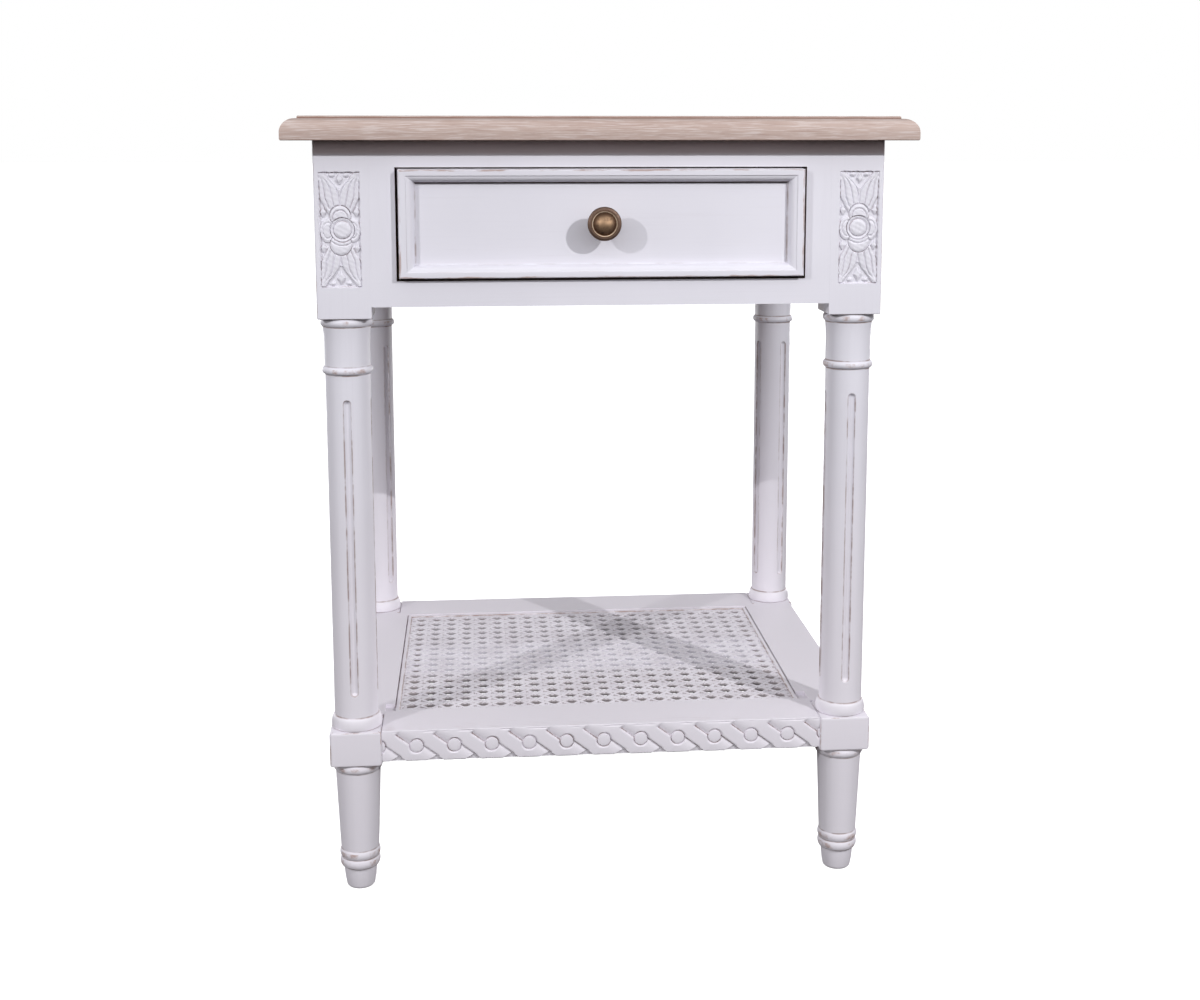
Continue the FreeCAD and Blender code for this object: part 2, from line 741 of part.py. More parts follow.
def make_moulding(label, length, width, neighbour_width, turn, x, z):
    """One side of the moulding round the drawer's front, mitred at both ends."""
    rotation = FreeCAD.Rotation(Vector(0, 1, 0), turn)
    body = new_body(label, x, -drawer_face_y, z, rotation)
    profile = [
        (zero, zero),
        (size.moulding_edge_radius - size.moulding_thickness, zero, size.moulding_edge_radius),
        (-size.moulding_thickness, -size.moulding_edge_radius),
        (-size.moulding_thickness, -width * size.moulding_flat_share, size.moulding_ovolo_radius),
        (-size.moulding_lip, -width),
        (zero, -width),
    ]
    half = length / 2
    pad(body, "Strip", "YZ_Plane", profile, -half, half)
    slope = neighbour_width / width
    over = size.overrun * slope
    for side in (-1, 1):
        mitre = [
            ((half + over) * side, size.overrun),
            ((half + over) * side, -width - size.overrun),
            ((half - neighbour_width - over) * side, -width - size.overrun),
        ]
        pocket(body, "Mitre", "XZ_Plane", mitre, -size.moulding_thickness - size.overrun, size.overrun)


# Knob and screws


def make_knob():
    """A mushroom knob: base, stem, rolled rim and a dome in a groove, tapped from behind."""
    body = new_body("knob", zero, -drawer_face_y, knob_z)
    face = size.knob_rim_end - size.knob_groove_depth
    dome_height = size.knob_projection - face
    rim_curve = bead_radius(size.knob_rim_end - size.knob_rim_start, size.knob_rim_swell)
    profile = [
        (zero, zero),
        (zero, size.knob_base_radius),
        (-size.knob_base_height, size.knob_base_radius, -size.knob_foot_cove_radius),
        (-size.knob_stem_start, size.knob_stem_radius),
        (-size.knob_stem_end, size.knob_stem_radius, -size.knob_neck_cove_radius),
        (-size.knob_rim_start, size.knob_rim_radius, rim_curve),
        (-size.knob_rim_end, size.knob_rim_radius),
        (-size.knob_rim_end, size.knob_dome_radius + size.knob_groove_width),
        (-face, size.knob_dome_radius + size.knob_groove_width),
        (-face, size.knob_dome_radius, bead_radius(size.knob_dome_radius * 2, dome_height)),
        (-size.knob_projection, zero),
    ]
    revolve(body, "Turning", "YZ_Plane", profile, "H_Axis")
    reach = size.knob_screw_bite + size.joint_clearance
    thread = size.knob_screw_radius + size.joint_clearance
    bore(body, "Thread", "XZ_Plane", zero, zero, thread, -reach, size.overrun)


def make_knob_screw():
    body = new_body("knob_screw", zero, -drawer_face_y, knob_z)
    seat = size.drawer_front_thickness
    profile = [
        (-size.knob_screw_bite, zero),
        (seat + size.knob_screw_head_height, zero),
        (seat + size.knob_screw_head_height, size.knob_screw_head_radius),
        (seat, size.knob_screw_head_radius),
        (seat, size.knob_screw_radius),
        (-size.knob_screw_bite, size.knob_screw_radius),
    ]
    revolve(body, "Turning", "YZ_Plane", profile, "H_Axis")


def make_cylinder(name, x, y, z, radius, height):
    cylinder = doc.addObject("Part::Cylinder", name)
    cylinder.setExpression("Radius", radius.text)
    cylinder.setExpression("Height", height.text)
    for axis, place in zip("xyz", (x, y, z)):
        cylinder.setExpression(f"Placement.Base.{axis}", place.text)
    return cylinder


def make_screws(label, places, head_z, reach):
    """A group of like screws that point upwards, with their heads let in from below."""
    screws = []
    head_bottom = head_z - size.screw_head_height
    for x, y in places:
        head = make_cylinder("Head", x, y, head_bottom, size.screw_head_radius, size.screw_head_height)
        shank = make_cylinder("Shank", x, y, head_z, size.screw_radius, reach)
        screw = doc.addObject("Part::Fuse", "Screw")
        screw.Base = head
        screw.Tool = shank
        screws.append(screw)
    group = doc.addObject("Part::Compound", label)
    group.Label = label
    group.Links = screws
    pieces.append(group)


# Shelf and cane


def make_shelf_cross_rail(label, end):
    """The front or rear rail, with a bed for the cane and a groove round it for the spline."""
    body = new_body(label, zero, leg_y * end, shelf_bottom)
    bed = bed_y - leg_y
    lip = lip_y - leg_y
    plan = rectangle(-inner_x, inner_x, *facing(end, lip, shelf_outer_y))
    pad(body, "Board", "XY_Plane", plan, zero, size.low_block_height)
    reach = inner_x + size.shelf_tenon_length
    tenons = rectangle(-reach, reach, *about(zero, size.shelf_tenon_width))
    pad(body, "Tenons", "XY_Plane", tenons, *about(size.low_block_height / 2, size.shelf_tenon_height))
    top = size.low_block_height + size.overrun
    cane_bed = rectangle(-bed_x, bed_x, *facing(end, lip - size.overrun, bed))
    pocket(body, "Bed", "XY_Plane", cane_bed, bed_level, top)
    inner = bed_x - size.spline_width
    groove = [
        (-bed_x, bed * end), (bed_x, bed * end), (bed_x, (lip - size.overrun) * end),
        (inner, (lip - size.overrun) * end), (inner, (bed - size.spline_width) * end),
        (-inner, (bed - size.spline_width) * end), (-inner, (lip - size.overrun) * end),
        (-bed_x, (lip - size.overrun) * end),
    ]
    pocket(body, "SplineGroove", "XY_Plane", groove, groove_level, top)


def make_shelf_side_rail(label, side):
    """A side rail, notched round the legs, with its length of the cane's bed and spline groove."""
    body = new_body(label, leg_x * side, zero, shelf_bottom)
    bed = bed_x - leg_x
    lip = lip_x - leg_x
    plan = [
        (lip * side, -lip_y), (-block_half * side, -lip_y), (-block_half * side, -inner_y),
        (shelf_outer_x * side, -inner_y), (shelf_outer_x * side, inner_y),
        (-block_half * side, inner_y), (-block_half * side, lip_y), (lip * side, lip_y),
    ]
    pad(body, "Board", "XY_Plane", plan, zero, size.low_block_height)
    reach = inner_y + size.shelf_tenon_length
    tenons = rectangle(*about(zero, size.shelf_tenon_width), -reach, reach)
    pad(body, "Tenons", "XY_Plane", tenons, *about(size.low_block_height / 2, size.shelf_tenon_height))
    top = size.low_block_height + size.overrun
    length = lip_y + size.overrun
    cane_bed = rectangle(*facing(side, lip - size.overrun, bed), -length, length)
    pocket(body, "Bed", "XY_Plane", cane_bed, bed_level, top)
    groove = rectangle(*facing(side, bed - size.spline_width, bed), -length, length)
    pocket(body, "SplineGroove", "XY_Plane", groove, groove_level, top)


def make_spline(label, half, reach, turn):
    """A reed pressed into the groove, mitred at its ends; half its length and how far out it lies."""
    body = new_body(label, zero, zero, shelf_bottom, FreeCAD.Rotation(Vector(0, 0, 1), turn))
    outer = reach - size.joint_clearance
    inner = reach - size.spline_width + size.joint_clearance
    long_half = half - size.joint_clearance
    short_half = half - size.spline_width + size.joint_clearance
    plan = [(-long_half, outer), (long_half, outer), (short_half, inner), (-short_half, inner)]
    pad(body, "Reed", "XY_Plane", plan, groove_level, size.low_block_height - size.spline_sink)


def octagon(x, y, half, corner):
    """A hole's outline, clockwise, with its corners cut off."""
    flat = half - corner
    points = [
        (flat, -half), (-flat, -half), (-half, -flat), (-half, flat),
        (-flat, half), (flat, half), (half, flat), (half, -flat),
    ]
    return Part.makePolygon([Vector(x + u, y + v, 0) for u, v in points + points[:1]])


def make_cane_panel():
    """The cane as one holed sheet, with its octagonal gaps in even columns and rows."""
    half_x = (bed_x - size.spline_width).value
    half_y = (bed_y - size.spline_width).value
    columns = int(size.cane_columns.value)
    rows = int(size.cane_rows.value)
    pitch_x = half_x * 2 / columns
    pitch_y = half_y * 2 / rows
    hole = min(pitch_x, pitch_y) * size.cane_hole_share.value / 2
    corner = hole * 2 * size.cane_corner_share.value
    edge = Part.makePlane(half_x * 2, half_y * 2, Vector(-half_x, -half_y, 0)).OuterWire
    holes = [
        octagon(pitch_x * (column + 0.5) - half_x, pitch_y * (row + 0.5) - half_y, hole, corner)
        for column in range(columns)
        for row in range(rows)
    ]
    net = Part.Face(edge)
    net.cutHoles(holes)
    panel = doc.addObject("Part::Feature", "cane_panel")
    panel.Label = "cane_panel"
    panel.Shape = net.extrude(Vector(0, 0, size.cane_thickness.value))
    panel.Placement = FreeCAD.Placement(
        Vector(0, 0, (shelf_bottom + bed_level).value), FreeCAD.Rotation()
    )
    pieces.append(panel)


make_tabletop()
make_leg("leg_front_left", -1, -1, size.front_flute_turn)
make_leg("leg_front_right", 1, -1, size.front_flute_turn)
make_leg("leg_rear_left", -1, 1, size.rear_left_flute_turn)
make_leg("leg_rear_right", 1, 1, size.rear_right_flute_turn)
make_back_apron()
make_drawer_rail("front_top_rail", opening_top, size.top_rail_height, -1, size.top_rail_height / 2)
bottom_tongue_height = size.bottom_rail_height - size.runner_thickness / 2
make_drawer_rail("front_bottom_rail", apron_bottom, size.bottom_rail_height, 1, bottom_tongue_height)
make_drawer_front()
make_drawer_back()
make_drawer_bottom()
make_knob()
make_knob_screw()
make_shelf_cross_rail("shelf_front_rail", -1)
make_shelf_cross_rail("shelf_rear_rail", 1)
make_cane_panel()
for side, word in ((-1, "left"), (1, "right")):
    make_side_apron(f"side_apron_{word}", side)
    make_drawer_stile(f"drawer_stile_{word}", side)
    make_web_board(f"drawer_runner_{word}", side, runner_bottom, size.runner_thickness)
    make_kicker(f"drawer_kicker_{word}", side)
    make_guide(f"drawer_guide_{word}", side)
    make_stop(f"drawer_stop_{word}", side)
    make_drawer_side(f"drawer_side_{word}", side)
    make_shelf_side_rail(f"shelf_side_rail_{word}", side)
    make_moulding(
        f"drawer_moulding_{word}", drawer_height, size.moulding_side_width, size.moulding_top_width,
        90 * side, drawer_width * side / 2, knob_z,
    )
for word, turn, z in (("top", 0, drawer_top_z), ("bottom", 180, drawer_bottom_z)):
    make_moulding(
        f"drawer_moulding_{word}", drawer_width, size.moulding_top_width, size.moulding_side_width,
        turn, zero, z,
    )
make_spline("cane_spline_rear", bed_x, bed_y, 0)
make_spline("cane_spline_left", bed_y, bed_x, 90)
make_spline("cane_spline_front", bed_x, bed_y, 180)
make_spline("cane_spline_right", bed_y, bed_x, 270)
top_screw_reach_up = size.top_rail_height - size.screw_head_height + size.top_screw_bite
make_screws("top_screws", top_screw_places(), top_screw_head_z, top_screw_reach_up)
bottom_screw_y = drawer_back_y - size.drawer_wall_thickness / 2
make_screws(
    "drawer_bottom_screws",
    [(-size.bottom_screw_reach, bottom_screw_y), (size.bottom_screw_reach, bottom_screw_y)],
    floor_z + size.screw_head_height,
    size.drawer_bottom_thickness - size.screw_head_height + size.bottom_screw_bite,
)

doc.recompute()

failed = [item.Label for item in doc.Objects if "Invalid" in item.State or "Error" in item.State]
if failed:
    raise RuntimeError(f"failed objects: {failed}")
cuts = [item for item in doc.Objects if item.isDerivedFrom("PartDesign::FeatureSubtractive")]
for item in cuts + [item for item in doc.Objects if item.TypeId == "PartDesign::Groove"]:
    if item.Shape.Volume >= item.BaseFeature.Shape.Volume:
        raise RuntimeError(f"{item.Label} cuts nothing")
for piece in pieces:
    if piece.Shape.isNull() or not piece.Shape.isValid():
        raise RuntimeError(f"{piece.Label} is not a valid shape")

os.makedirs("parts", exist_ok=True)
for piece in pieces:
    piece.Shape.exportStep(f"parts/{piece.Label}.step")
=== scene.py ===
import bpy
import math
import numpy as np
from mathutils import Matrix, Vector


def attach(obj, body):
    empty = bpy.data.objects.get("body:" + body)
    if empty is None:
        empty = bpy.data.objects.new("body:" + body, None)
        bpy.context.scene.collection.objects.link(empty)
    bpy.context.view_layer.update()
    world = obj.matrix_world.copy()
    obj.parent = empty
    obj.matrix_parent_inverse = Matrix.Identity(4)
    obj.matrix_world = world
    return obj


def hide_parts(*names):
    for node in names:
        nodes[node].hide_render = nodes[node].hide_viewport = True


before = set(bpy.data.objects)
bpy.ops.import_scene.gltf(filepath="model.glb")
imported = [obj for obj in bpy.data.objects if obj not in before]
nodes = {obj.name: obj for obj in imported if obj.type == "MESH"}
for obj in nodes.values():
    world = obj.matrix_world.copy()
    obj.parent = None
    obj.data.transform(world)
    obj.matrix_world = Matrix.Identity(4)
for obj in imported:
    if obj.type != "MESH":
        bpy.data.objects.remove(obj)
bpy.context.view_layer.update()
scene = bpy.context.scene
MM = 0.001

# Sizes in millimetres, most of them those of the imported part
TOP_HALF_X, TOP_HALF_Y, TOP_THICK = 250.0, 210.0, 19.0
LEG_X, LEG_Y = 206.0, 166.5
BLOCK_HALF, BLOCK_SOFT, BLOCK_TIGHT, BLOCK_WORN = 21.5, 1.5, 0.1, 2.6
CORNER_POINTS = 5
SHELF_LOW, SHELF_HIGH = 112.5, 142.5
HIGH_BLOCK, LEG_TOP = 486.5, 627.0
TOE_HIGH, RING_HIGH, TAPER_LOW, TAPER_HIGH = 19.2, 27.2, 35.0, 104.6
SHAFT_LOW, SHAFT_RADIUS = 153.5, 18.2
COLLAR_LOW, COLLAR_HIGH, SHOULDER_LOW = 440.6, 447.2, 479.3
FLUTE_LOW, FLUTE_HIGH = 172.5, 420.5
FLUTE_RADIUS, FLUTE_RISE = 3.2, 0.6
FLUTE_HALF = math.sqrt(FLUTE_RADIUS ** 2 - FLUTE_RISE ** 2)
PANEL_HALF, PANEL_LOW, PANEL_HIGH = 16.5, 511.5, 603.0
PANEL_SHIFT, PANEL_DEPTH, CARVED_RISE = 1.5, 2.1, 1.6
BED_X, BED_Y, CANE_LEVEL = 176.5, 138.5, 139.0
OPENING_X, OPENING_LOW, OPENING_HIGH = 164.0, 516.7, 606.0
KNOB_Z = 561.95


# Materials


def colour(red, green, blue):
    """A colour given as screen values from 0 to 255."""
    linear = [((value / 255 + 0.055) / 1.055) ** 2.4 for value in (red, green, blue)]
    return (*linear, 1.0)


class Graph:
    """A node tree with short calls that add nodes to it."""

    def __init__(self, tree, place):
        self.tree = tree
        self.place = self.add("ShaderNodeTexCoord", {}).outputs[place]

    def connect(self, value, socket):
        if isinstance(value, bpy.types.NodeSocket):
            self.tree.links.new(value, socket)
        else:
            socket.default_value = value

    def add(self, kind, inputs, **settings):
        node = self.tree.nodes.new(kind)
        for key, value in settings.items():
            setattr(node, key, value)
        for key, value in inputs.items():
            self.connect(value, node.inputs[key])
        return node

    def noise(self, scale, detail=3.0):
        """Noise from 0 to 1 with its own scale along each axis, per metre."""
        spread = self.add("ShaderNodeMapping", {"Vector": self.place, "Scale": scale})
        inputs = {"Vector": spread.outputs[0], "Scale": 1.0, "Detail": detail, "Roughness": 0.6}
        return self.add("ShaderNodeTexNoise", inputs).outputs["Fac"]

    def step(self, value, low, high, least=0.0, most=1.0):
        """A smooth step of a value between two others."""
        inputs = {"Value": value, "From Min": low, "From Max": high, "To Min": least, "To Max": most}
        return self.add("ShaderNodeMapRange", inputs, interpolation_type="SMOOTHSTEP").outputs["Result"]

    def combine(self, operation, first, second):
        """A sum of two values, or what another operation makes of them."""
        return self.add("ShaderNodeMath", {0: first, 1: second}, operation=operation).outputs[0]

    def product(self, first, *others):
        for other in others:
            first = self.combine("MULTIPLY", first, other)
        return first

    def inside(self, value, half, soft):
        """1 where a place in metres is less than a half width in millimetres from the middle, else 0."""
        return self.step(self.combine("ABSOLUTE", value, 0), (half + soft) * MM, (half - soft) * MM)

    def mix(self, share, first, second):
        return self.add("ShaderNodeMix", {0: share, 6: first, 7: second}, data_type="RGBA").outputs[2]

    def axes(self):
        return self.add("ShaderNodeSeparateXYZ", {"Vector": self.place}).outputs


class Finish(Graph):
    """A material with brown glazing and painted shade in its creases and wear on its edges."""

    def __init__(self, name):
        self.material = bpy.data.materials.new(name)
        self.material.use_nodes = True
        super().__init__(self.material.node_tree, "Object")
        self.shader = self.tree.nodes["Principled BSDF"]

    def mark(self, name):
        """A shade that the mesh carries at its points."""
        return self.add("ShaderNodeAttribute", {}, attribute_name=name).outputs["Fac"]

    def edges(self, radius):
        """1 along the edges of a mesh and 0 on its flats."""
        soft = self.add("ShaderNodeBevel", {"Radius": radius}, samples=4).outputs["Normal"]
        plain = self.add("ShaderNodeNewGeometry", {}).outputs["Normal"]
        likeness = self.add("ShaderNodeVectorMath", {0: soft, 1: plain}, operation="DOT_PRODUCT")
        return self.step(likeness.outputs["Value"], 0.99, 0.85)

    def glazed_and_shaded(self, body, patches, brown=colour(142, 116, 108), dark=colour(62, 51, 48)):
        """Brown glazing and painted shade in the creases that the mesh marks, and near-black painted shade in
        its deepest ones.
        """
        glaze_and_shade = self.mark("glaze_and_shade")
        share = self.step(self.product(glaze_and_shade, patches), 0.05, 0.9, 0, 0.85)
        # painted shade: marks above 1.1 turn towards near black, in gaps, holes and creases under blocks
        return self.mix(self.step(glaze_and_shade, 1.1, 1.9), self.mix(share, body, brown), dark)

    def set(self, **sockets):
        for key, value in sockets.items():
            self.connect(value, self.shader.inputs[key.replace("_", " ").title()])

    def bump(self, height, distance, strength):
        inputs = {"Height": height, "Distance": distance, "Strength": strength}
        self.connect(self.add("ShaderNodeBump", inputs).outputs["Normal"], self.shader.inputs["Normal"])


def along_grain(axis, along, across):
    """Noise scales that run fine across the grain and long along it."""
    return tuple(along if name == axis else across for name in "xyz")


def bed_mask(finish):
    """1 on the bed that the cane lies on, left as unpainted wood and darkened as painted shade under the
    cane, 0 elsewhere on the shelf's rails.
    """
    axes = finish.axes()
    below = finish.step(axes["Z"], (CANE_LEVEL + 0.4) * MM, (CANE_LEVEL - 0.2) * MM)
    above = finish.step(axes["Z"], (CANE_LEVEL - 1.5) * MM, (CANE_LEVEL - 0.5) * MM)
    across = finish.inside(axes["X"], BED_X, 0.2)
    along = finish.inside(axes["Y"], BED_Y, 0.2)
    return finish.product(below, above, across, along)


def opening_mask(finish):
    """1 on the edges round the drawer's opening, unpainted wood darkened as painted shade in the drawer's
    gap, 0 on the faces in front of it.
    """
    axes = finish.axes()
    above = finish.step(axes["Z"], (OPENING_LOW - 0.3) * MM, (OPENING_LOW - 0.1) * MM)
    below = finish.step(axes["Z"], (OPENING_HIGH + 0.3) * MM, (OPENING_HIGH + 0.1) * MM)
    return finish.product(finish.inside(axes["X"], OPENING_X + 0.2, 0.1), above, below)


def make_paint(name, axis, edges=False, bare=None, wear=(42, 200)):
    """Rubbed white paint, brushed along an axis: brown where it is worn and where it has glazing, dark
    unpainted wood on masked edges, painted shade under the top and in gaps, and painted light lower down.
    """
    paint = Finish(name)
    brushing = paint.noise(along_grain(axis, 9, 420), 4)
    clouds = paint.noise((7, 7, 7))
    body = paint.mix(paint.step(clouds, 0.3, 0.7), colour(221, 219, 228), colour(225, 223, 232))
    body = paint.mix(paint.step(brushing, 0.5, 0.8, 0, 0.18), body, colour(208, 203, 212))
    height = paint.axes()["Z"]
    # painted light: the paint is paler lower down, where the lamps light it less
    painted_light_low_down = paint.step(height, 0.48, 0.15, 0, 0.85)
    body = paint.mix(painted_light_low_down, body, colour(231, 226, 234))
    scuffs = paint.step(paint.noise(along_grain(axis, 16, 520), 2), 0.79, 0.85, 0, 0.35)
    body = paint.mix(scuffs, body, colour(180, 162, 158))
    body = paint.glazed_and_shaded(body, paint.step(paint.noise((60, 60, 60)), 0.35, 0.65, 0.35, 1))
    # painted shade: a brown band just under the top, where its overhang shades the frame
    painted_shade_under_top = paint.step(height, 0.614, 0.618, 0, 0.42)
    body = paint.mix(painted_shade_under_top, body, colour(156, 114, 100))
    grit = paint.noise(along_grain(axis, *wear), 4)
    rub = paint.mark("rub")
    if edges:
        rub = paint.combine("MAXIMUM", rub, paint.edges(1.2 * MM))
    worn = paint.product(rub, grit)
    body = paint.mix(paint.step(worn, 0.38, 0.56, 0, 0.75), body, colour(164, 132, 120))
    # unpainted wood, darkened as painted shade in the gap and under the cane
    if bare:
        body = paint.mix(bare(paint), body, colour(84, 66, 58))
    paint.set(base_color=body, roughness=paint.step(clouds, 0.2, 0.8, 0.45, 0.6))
    paint.bump(paint.combine("ADD", brushing, paint.product(worn, -0.6)), 0.2 * MM, 0.2)
    return paint.material


def make_oak(name):
    """Limed oak: pinkish taupe wood with grain along X, whitish streaks, and darker lines at its mouldings
    that are painted shade.
    """
    oak = Finish(name)
    broad = oak.noise((1.6, 26, 26), 3)
    fibres = oak.noise((28, 800, 800), 4)
    pores = oak.noise((30, 900, 900), 2)
    lime = oak.noise((48, 1100, 1100), 3)
    body = oak.mix(oak.step(broad, 0.3, 0.7), colour(174, 152, 144), colour(186, 166, 158))
    body = oak.mix(oak.step(fibres, 0.48, 0.7, 0, 0.42), body, colour(152, 126, 116))
    body = oak.mix(oak.step(lime, 0.49, 0.62, 0, 0.5), body, colour(214, 204, 202))
    body = oak.mix(oak.step(pores, 0.62, 0.74, 0, 0.4), body, colour(146, 118, 108))
    # painted shade: brown in the marked quirk and along the underside
    body = oak.mix(oak.step(oak.mark("glaze_and_shade"), 0, 1), body, colour(128, 96, 84))
    worn = oak.product(oak.mark("rub"), oak.noise((40, 40, 40)))
    body = oak.mix(oak.step(worn, 0.4, 0.6, 0, 0.6), body, colour(224, 212, 207))
    oak.set(base_color=body, roughness=oak.step(fibres, 0.3, 0.7, 0.6, 0.78))
    oak.shader.inputs["Specular IOR Level"].default_value = 0.25
    oak.bump(oak.combine("SUBTRACT", fibres, pores), 0.4 * MM, 0.3)
    return oak.material


def make_raw_wood(name, axis):
    """Plain pale timber inside the case."""
    wood = Finish(name)
    rings = wood.noise(along_grain(axis, 2, 40), 3)
    fibres = wood.noise(along_grain(axis, 12, 600), 4)
    body = wood.mix(wood.step(rings, 0.35, 0.65), colour(205, 176, 140), colour(186, 152, 114))
    body = wood.mix(wood.step(fibres, 0.5, 0.75, 0, 0.5), body, colour(160, 124, 90))
    wood.set(base_color=body, roughness=wood.step(fibres, 0.3, 0.7, 0.6, 0.75))
    wood.bump(fibres, 0.4 * MM, 0.3)
    return wood.material


def make_cane_paint(name):
    """Painted cane with fine fibres, brown edges and sides that are painted shade, both paler in the middle
    rows as painted light from the floor seen through the holes.
    """
    cane = Finish(name)
    fibres = cane.noise((500, 500, 500), 3)
    clouds = cane.noise((30, 30, 30))
    body = cane.mix(cane.step(clouds, 0.35, 0.65), colour(236, 232, 240), colour(225, 220, 228))
    back = cane.axes()["Y"]
    # painted light: the middle rows stand for the lit floor seen through the holes
    painted_floor_light = cane.product(cane.step(back, -0.055, -0.03), cane.step(back, 0.06, 0.03, 0.4, 1))
    edges = cane.mix(painted_floor_light, colour(160, 151, 153), colour(206, 202, 211))
    # painted shade: the holes' sides are dark in front and at the back
    sides = cane.mix(painted_floor_light, colour(78, 70, 72), colour(212, 208, 218))
    body = cane.glazed_and_shaded(body, cane.step(fibres, 0.3, 0.6, 0.5, 1), edges, sides)
    cane.set(base_color=body, roughness=cane.step(fibres, 0.3, 0.7, 0.5, 0.7))
    cane.bump(fibres, 0.3 * MM, 0.4)
    return cane.material


def make_brass(name):
    """Aged brass: a brown dome lighter at its middle and a bright ring round it, both painted highlights, and
    a dark rim, about the knob's axis.
    """
    brass = Finish(name)
    axes = brass.axes()
    height = brass.combine("SUBTRACT", axes["Z"], KNOB_Z * MM)
    squares = [brass.product(value, value) for value in (axes["X"], height)]
    radius = brass.combine("SQRT", brass.combine("ADD", *squares), 0)
    smudges = brass.noise((300, 300, 300), 4)
    dome = brass.step(radius, 4.0 * MM, 8.8 * MM)
    ring = brass.product(brass.step(radius, 9.2 * MM, 9.5 * MM), brass.step(radius, 10.2 * MM, 9.8 * MM))
    rim = brass.step(radius, 10.4 * MM, 11.0 * MM)
    # painted highlight: the dome is lighter towards its middle
    body = brass.mix(dome, colour(172, 142, 114), colour(112, 86, 68))
    # painted highlight: a bright thin ring
    body = brass.mix(ring, body, colour(228, 208, 186))
    body = brass.mix(rim, body, colour(122, 100, 88))
    body = brass.mix(brass.step(smudges, 0.5, 0.75, 0, 0.5), body, colour(72, 54, 44))
    brass.set(base_color=body, metallic=0.9, roughness=brass.step(smudges, 0.3, 0.7, 0.48, 0.62))
    brass.bump(smudges, 0.1 * MM, 0.3)
    return brass.material


def make_steel(name):
    steel = Finish(name)
    turning = steel.noise((900, 900, 60), 2)
    body = steel.mix(steel.step(turning, 0.3, 0.7), colour(150, 148, 145), colour(190, 188, 184))
    steel.set(base_color=body, metallic=1.0, roughness=steel.step(turning, 0.3, 0.7, 0.3, 0.45))
    steel.bump(turning, 0.1 * MM, 0.3)
    return steel.material


paint = {axis: make_paint(f"white_paint_{axis}", axis) for axis in "xyz"}
edged_paint = {axis: make_paint(f"edged_paint_{axis}", axis, edges=True) for axis in "xy"}
leg_paint = make_paint("leg_paint", "z", wear=(95, 95))
frame_paint = {axis: make_paint(f"frame_paint_{axis}", axis, bare=opening_mask) for axis in "xz"}
shelf_paint = {axis: make_paint(f"shelf_paint_{axis}", axis, bare=bed_mask) for axis in "xy"}
raw_wood = {axis: make_raw_wood(f"raw_wood_{axis}", axis) for axis in "xy"}
oak = make_oak("limed_oak")
cane_paint = make_cane_paint("painted_cane")
brass = make_brass("aged_brass")
steel = make_steel("steel")


# Building meshes


def new_piece(name, shells, body, material, replaced, angle=35):
    """A piece made of shells in millimetres; each is points, faces, glaze and rub."""
    points, faces, marks = [], [], {"glaze_and_shade": [], "rub": []}
    for shell_points, shell_faces, glaze_and_shade, rub in shells:
        faces += [[index + len(points) for index in face] for face in shell_faces]
        points += [Vector(point) * MM for point in shell_points]
        marks["glaze_and_shade"] += list(glaze_and_shade)
        marks["rub"] += list(rub)
    mesh = bpy.data.meshes.new(name)
    mesh.from_pydata(points, [], faces)
    for key, values in marks.items():
        mesh.attributes.new(key, "FLOAT", "POINT").data.foreach_set("value", values)
    for polygon in mesh.polygons:
        polygon.use_smooth = True
    mesh.set_sharp_from_angle(angle=math.radians(angle))
    mesh.materials.append(material)
    piece = bpy.data.objects.new(name, mesh)
    piece.modifiers.new("even_shading", "WEIGHTED_NORMAL").keep_sharp = True
    scene.collection.objects.link(piece)
    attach(piece, body)
    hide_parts(*replaced)


def strips(rows, columns, closed=False):
    """Faces between rows of points, each with so many columns."""
    faces = []
    for row in range(rows - 1):
        for column in range(columns if closed else columns - 1):
            after = (column + 1) % columns
            low, high = row * columns, (row + 1) * columns
            faces.append([low + column, low + after, high + after, high + column])
    return faces


def arc(centre, radius, start, stop, count):
    """Points along an arc, angles in degrees."""
    turns = np.radians(np.linspace(start, stop, count))
    return [(centre[0] + radius * math.cos(turn), centre[1] + radius * math.sin(turn)) for turn in turns]


def grid_sides(first, wide, tall):
    """The bottom, top, left and right points of a grid that starts at a given index."""
    bottom = [first + column for column in range(wide)]
    top = [first + (tall - 1) * wide + column for column in range(wide)]
    left = [first + row * wide for row in range(tall)]
    right = [first + row * wide + wide - 1 for row in range(tall)]
    return bottom, top, left, right


def ring_sweep(half_x, half_y, profile, place, side_share=1.0):
    """A moulding round a rectangle: profile points are inset, level, glaze and rub."""
    points, glaze_and_shade, rub = [], [], []
    for inset, level, glazed_and_shaded, rubbed in profile:
        x, y = half_x - inset * side_share, half_y - inset
        points += [place(*corner, level) for corner in ((-x, -y), (x, -y), (x, y), (-x, y))]
        glaze_and_shade += [glazed_and_shaded] * 4
        rub += [rubbed] * 4
    return points, strips(len(profile), 4, closed=True), glaze_and_shade, rub


def mitred_side(shell, side):
    """One side of a ring sweep as a closed length with mitred ends."""
    points, _, glaze_and_shade, rub = shell
    rows = len(points) // 4
    picks = [row * 4 + corner for row in range(rows) for corner in (side, (side + 1) % 4)]
    faces = strips(rows, 2)
    faces.append([2 * rows - 2, 2 * rows - 1, 1, 0])
    faces.append(list(range(0, 2 * rows, 2)))
    faces.append(list(range(1, 2 * rows, 2))[::-1])
    return [points[i] for i in picks], faces, [glaze_and_shade[i] for i in picks], [rub[i] for i in picks]


# Top


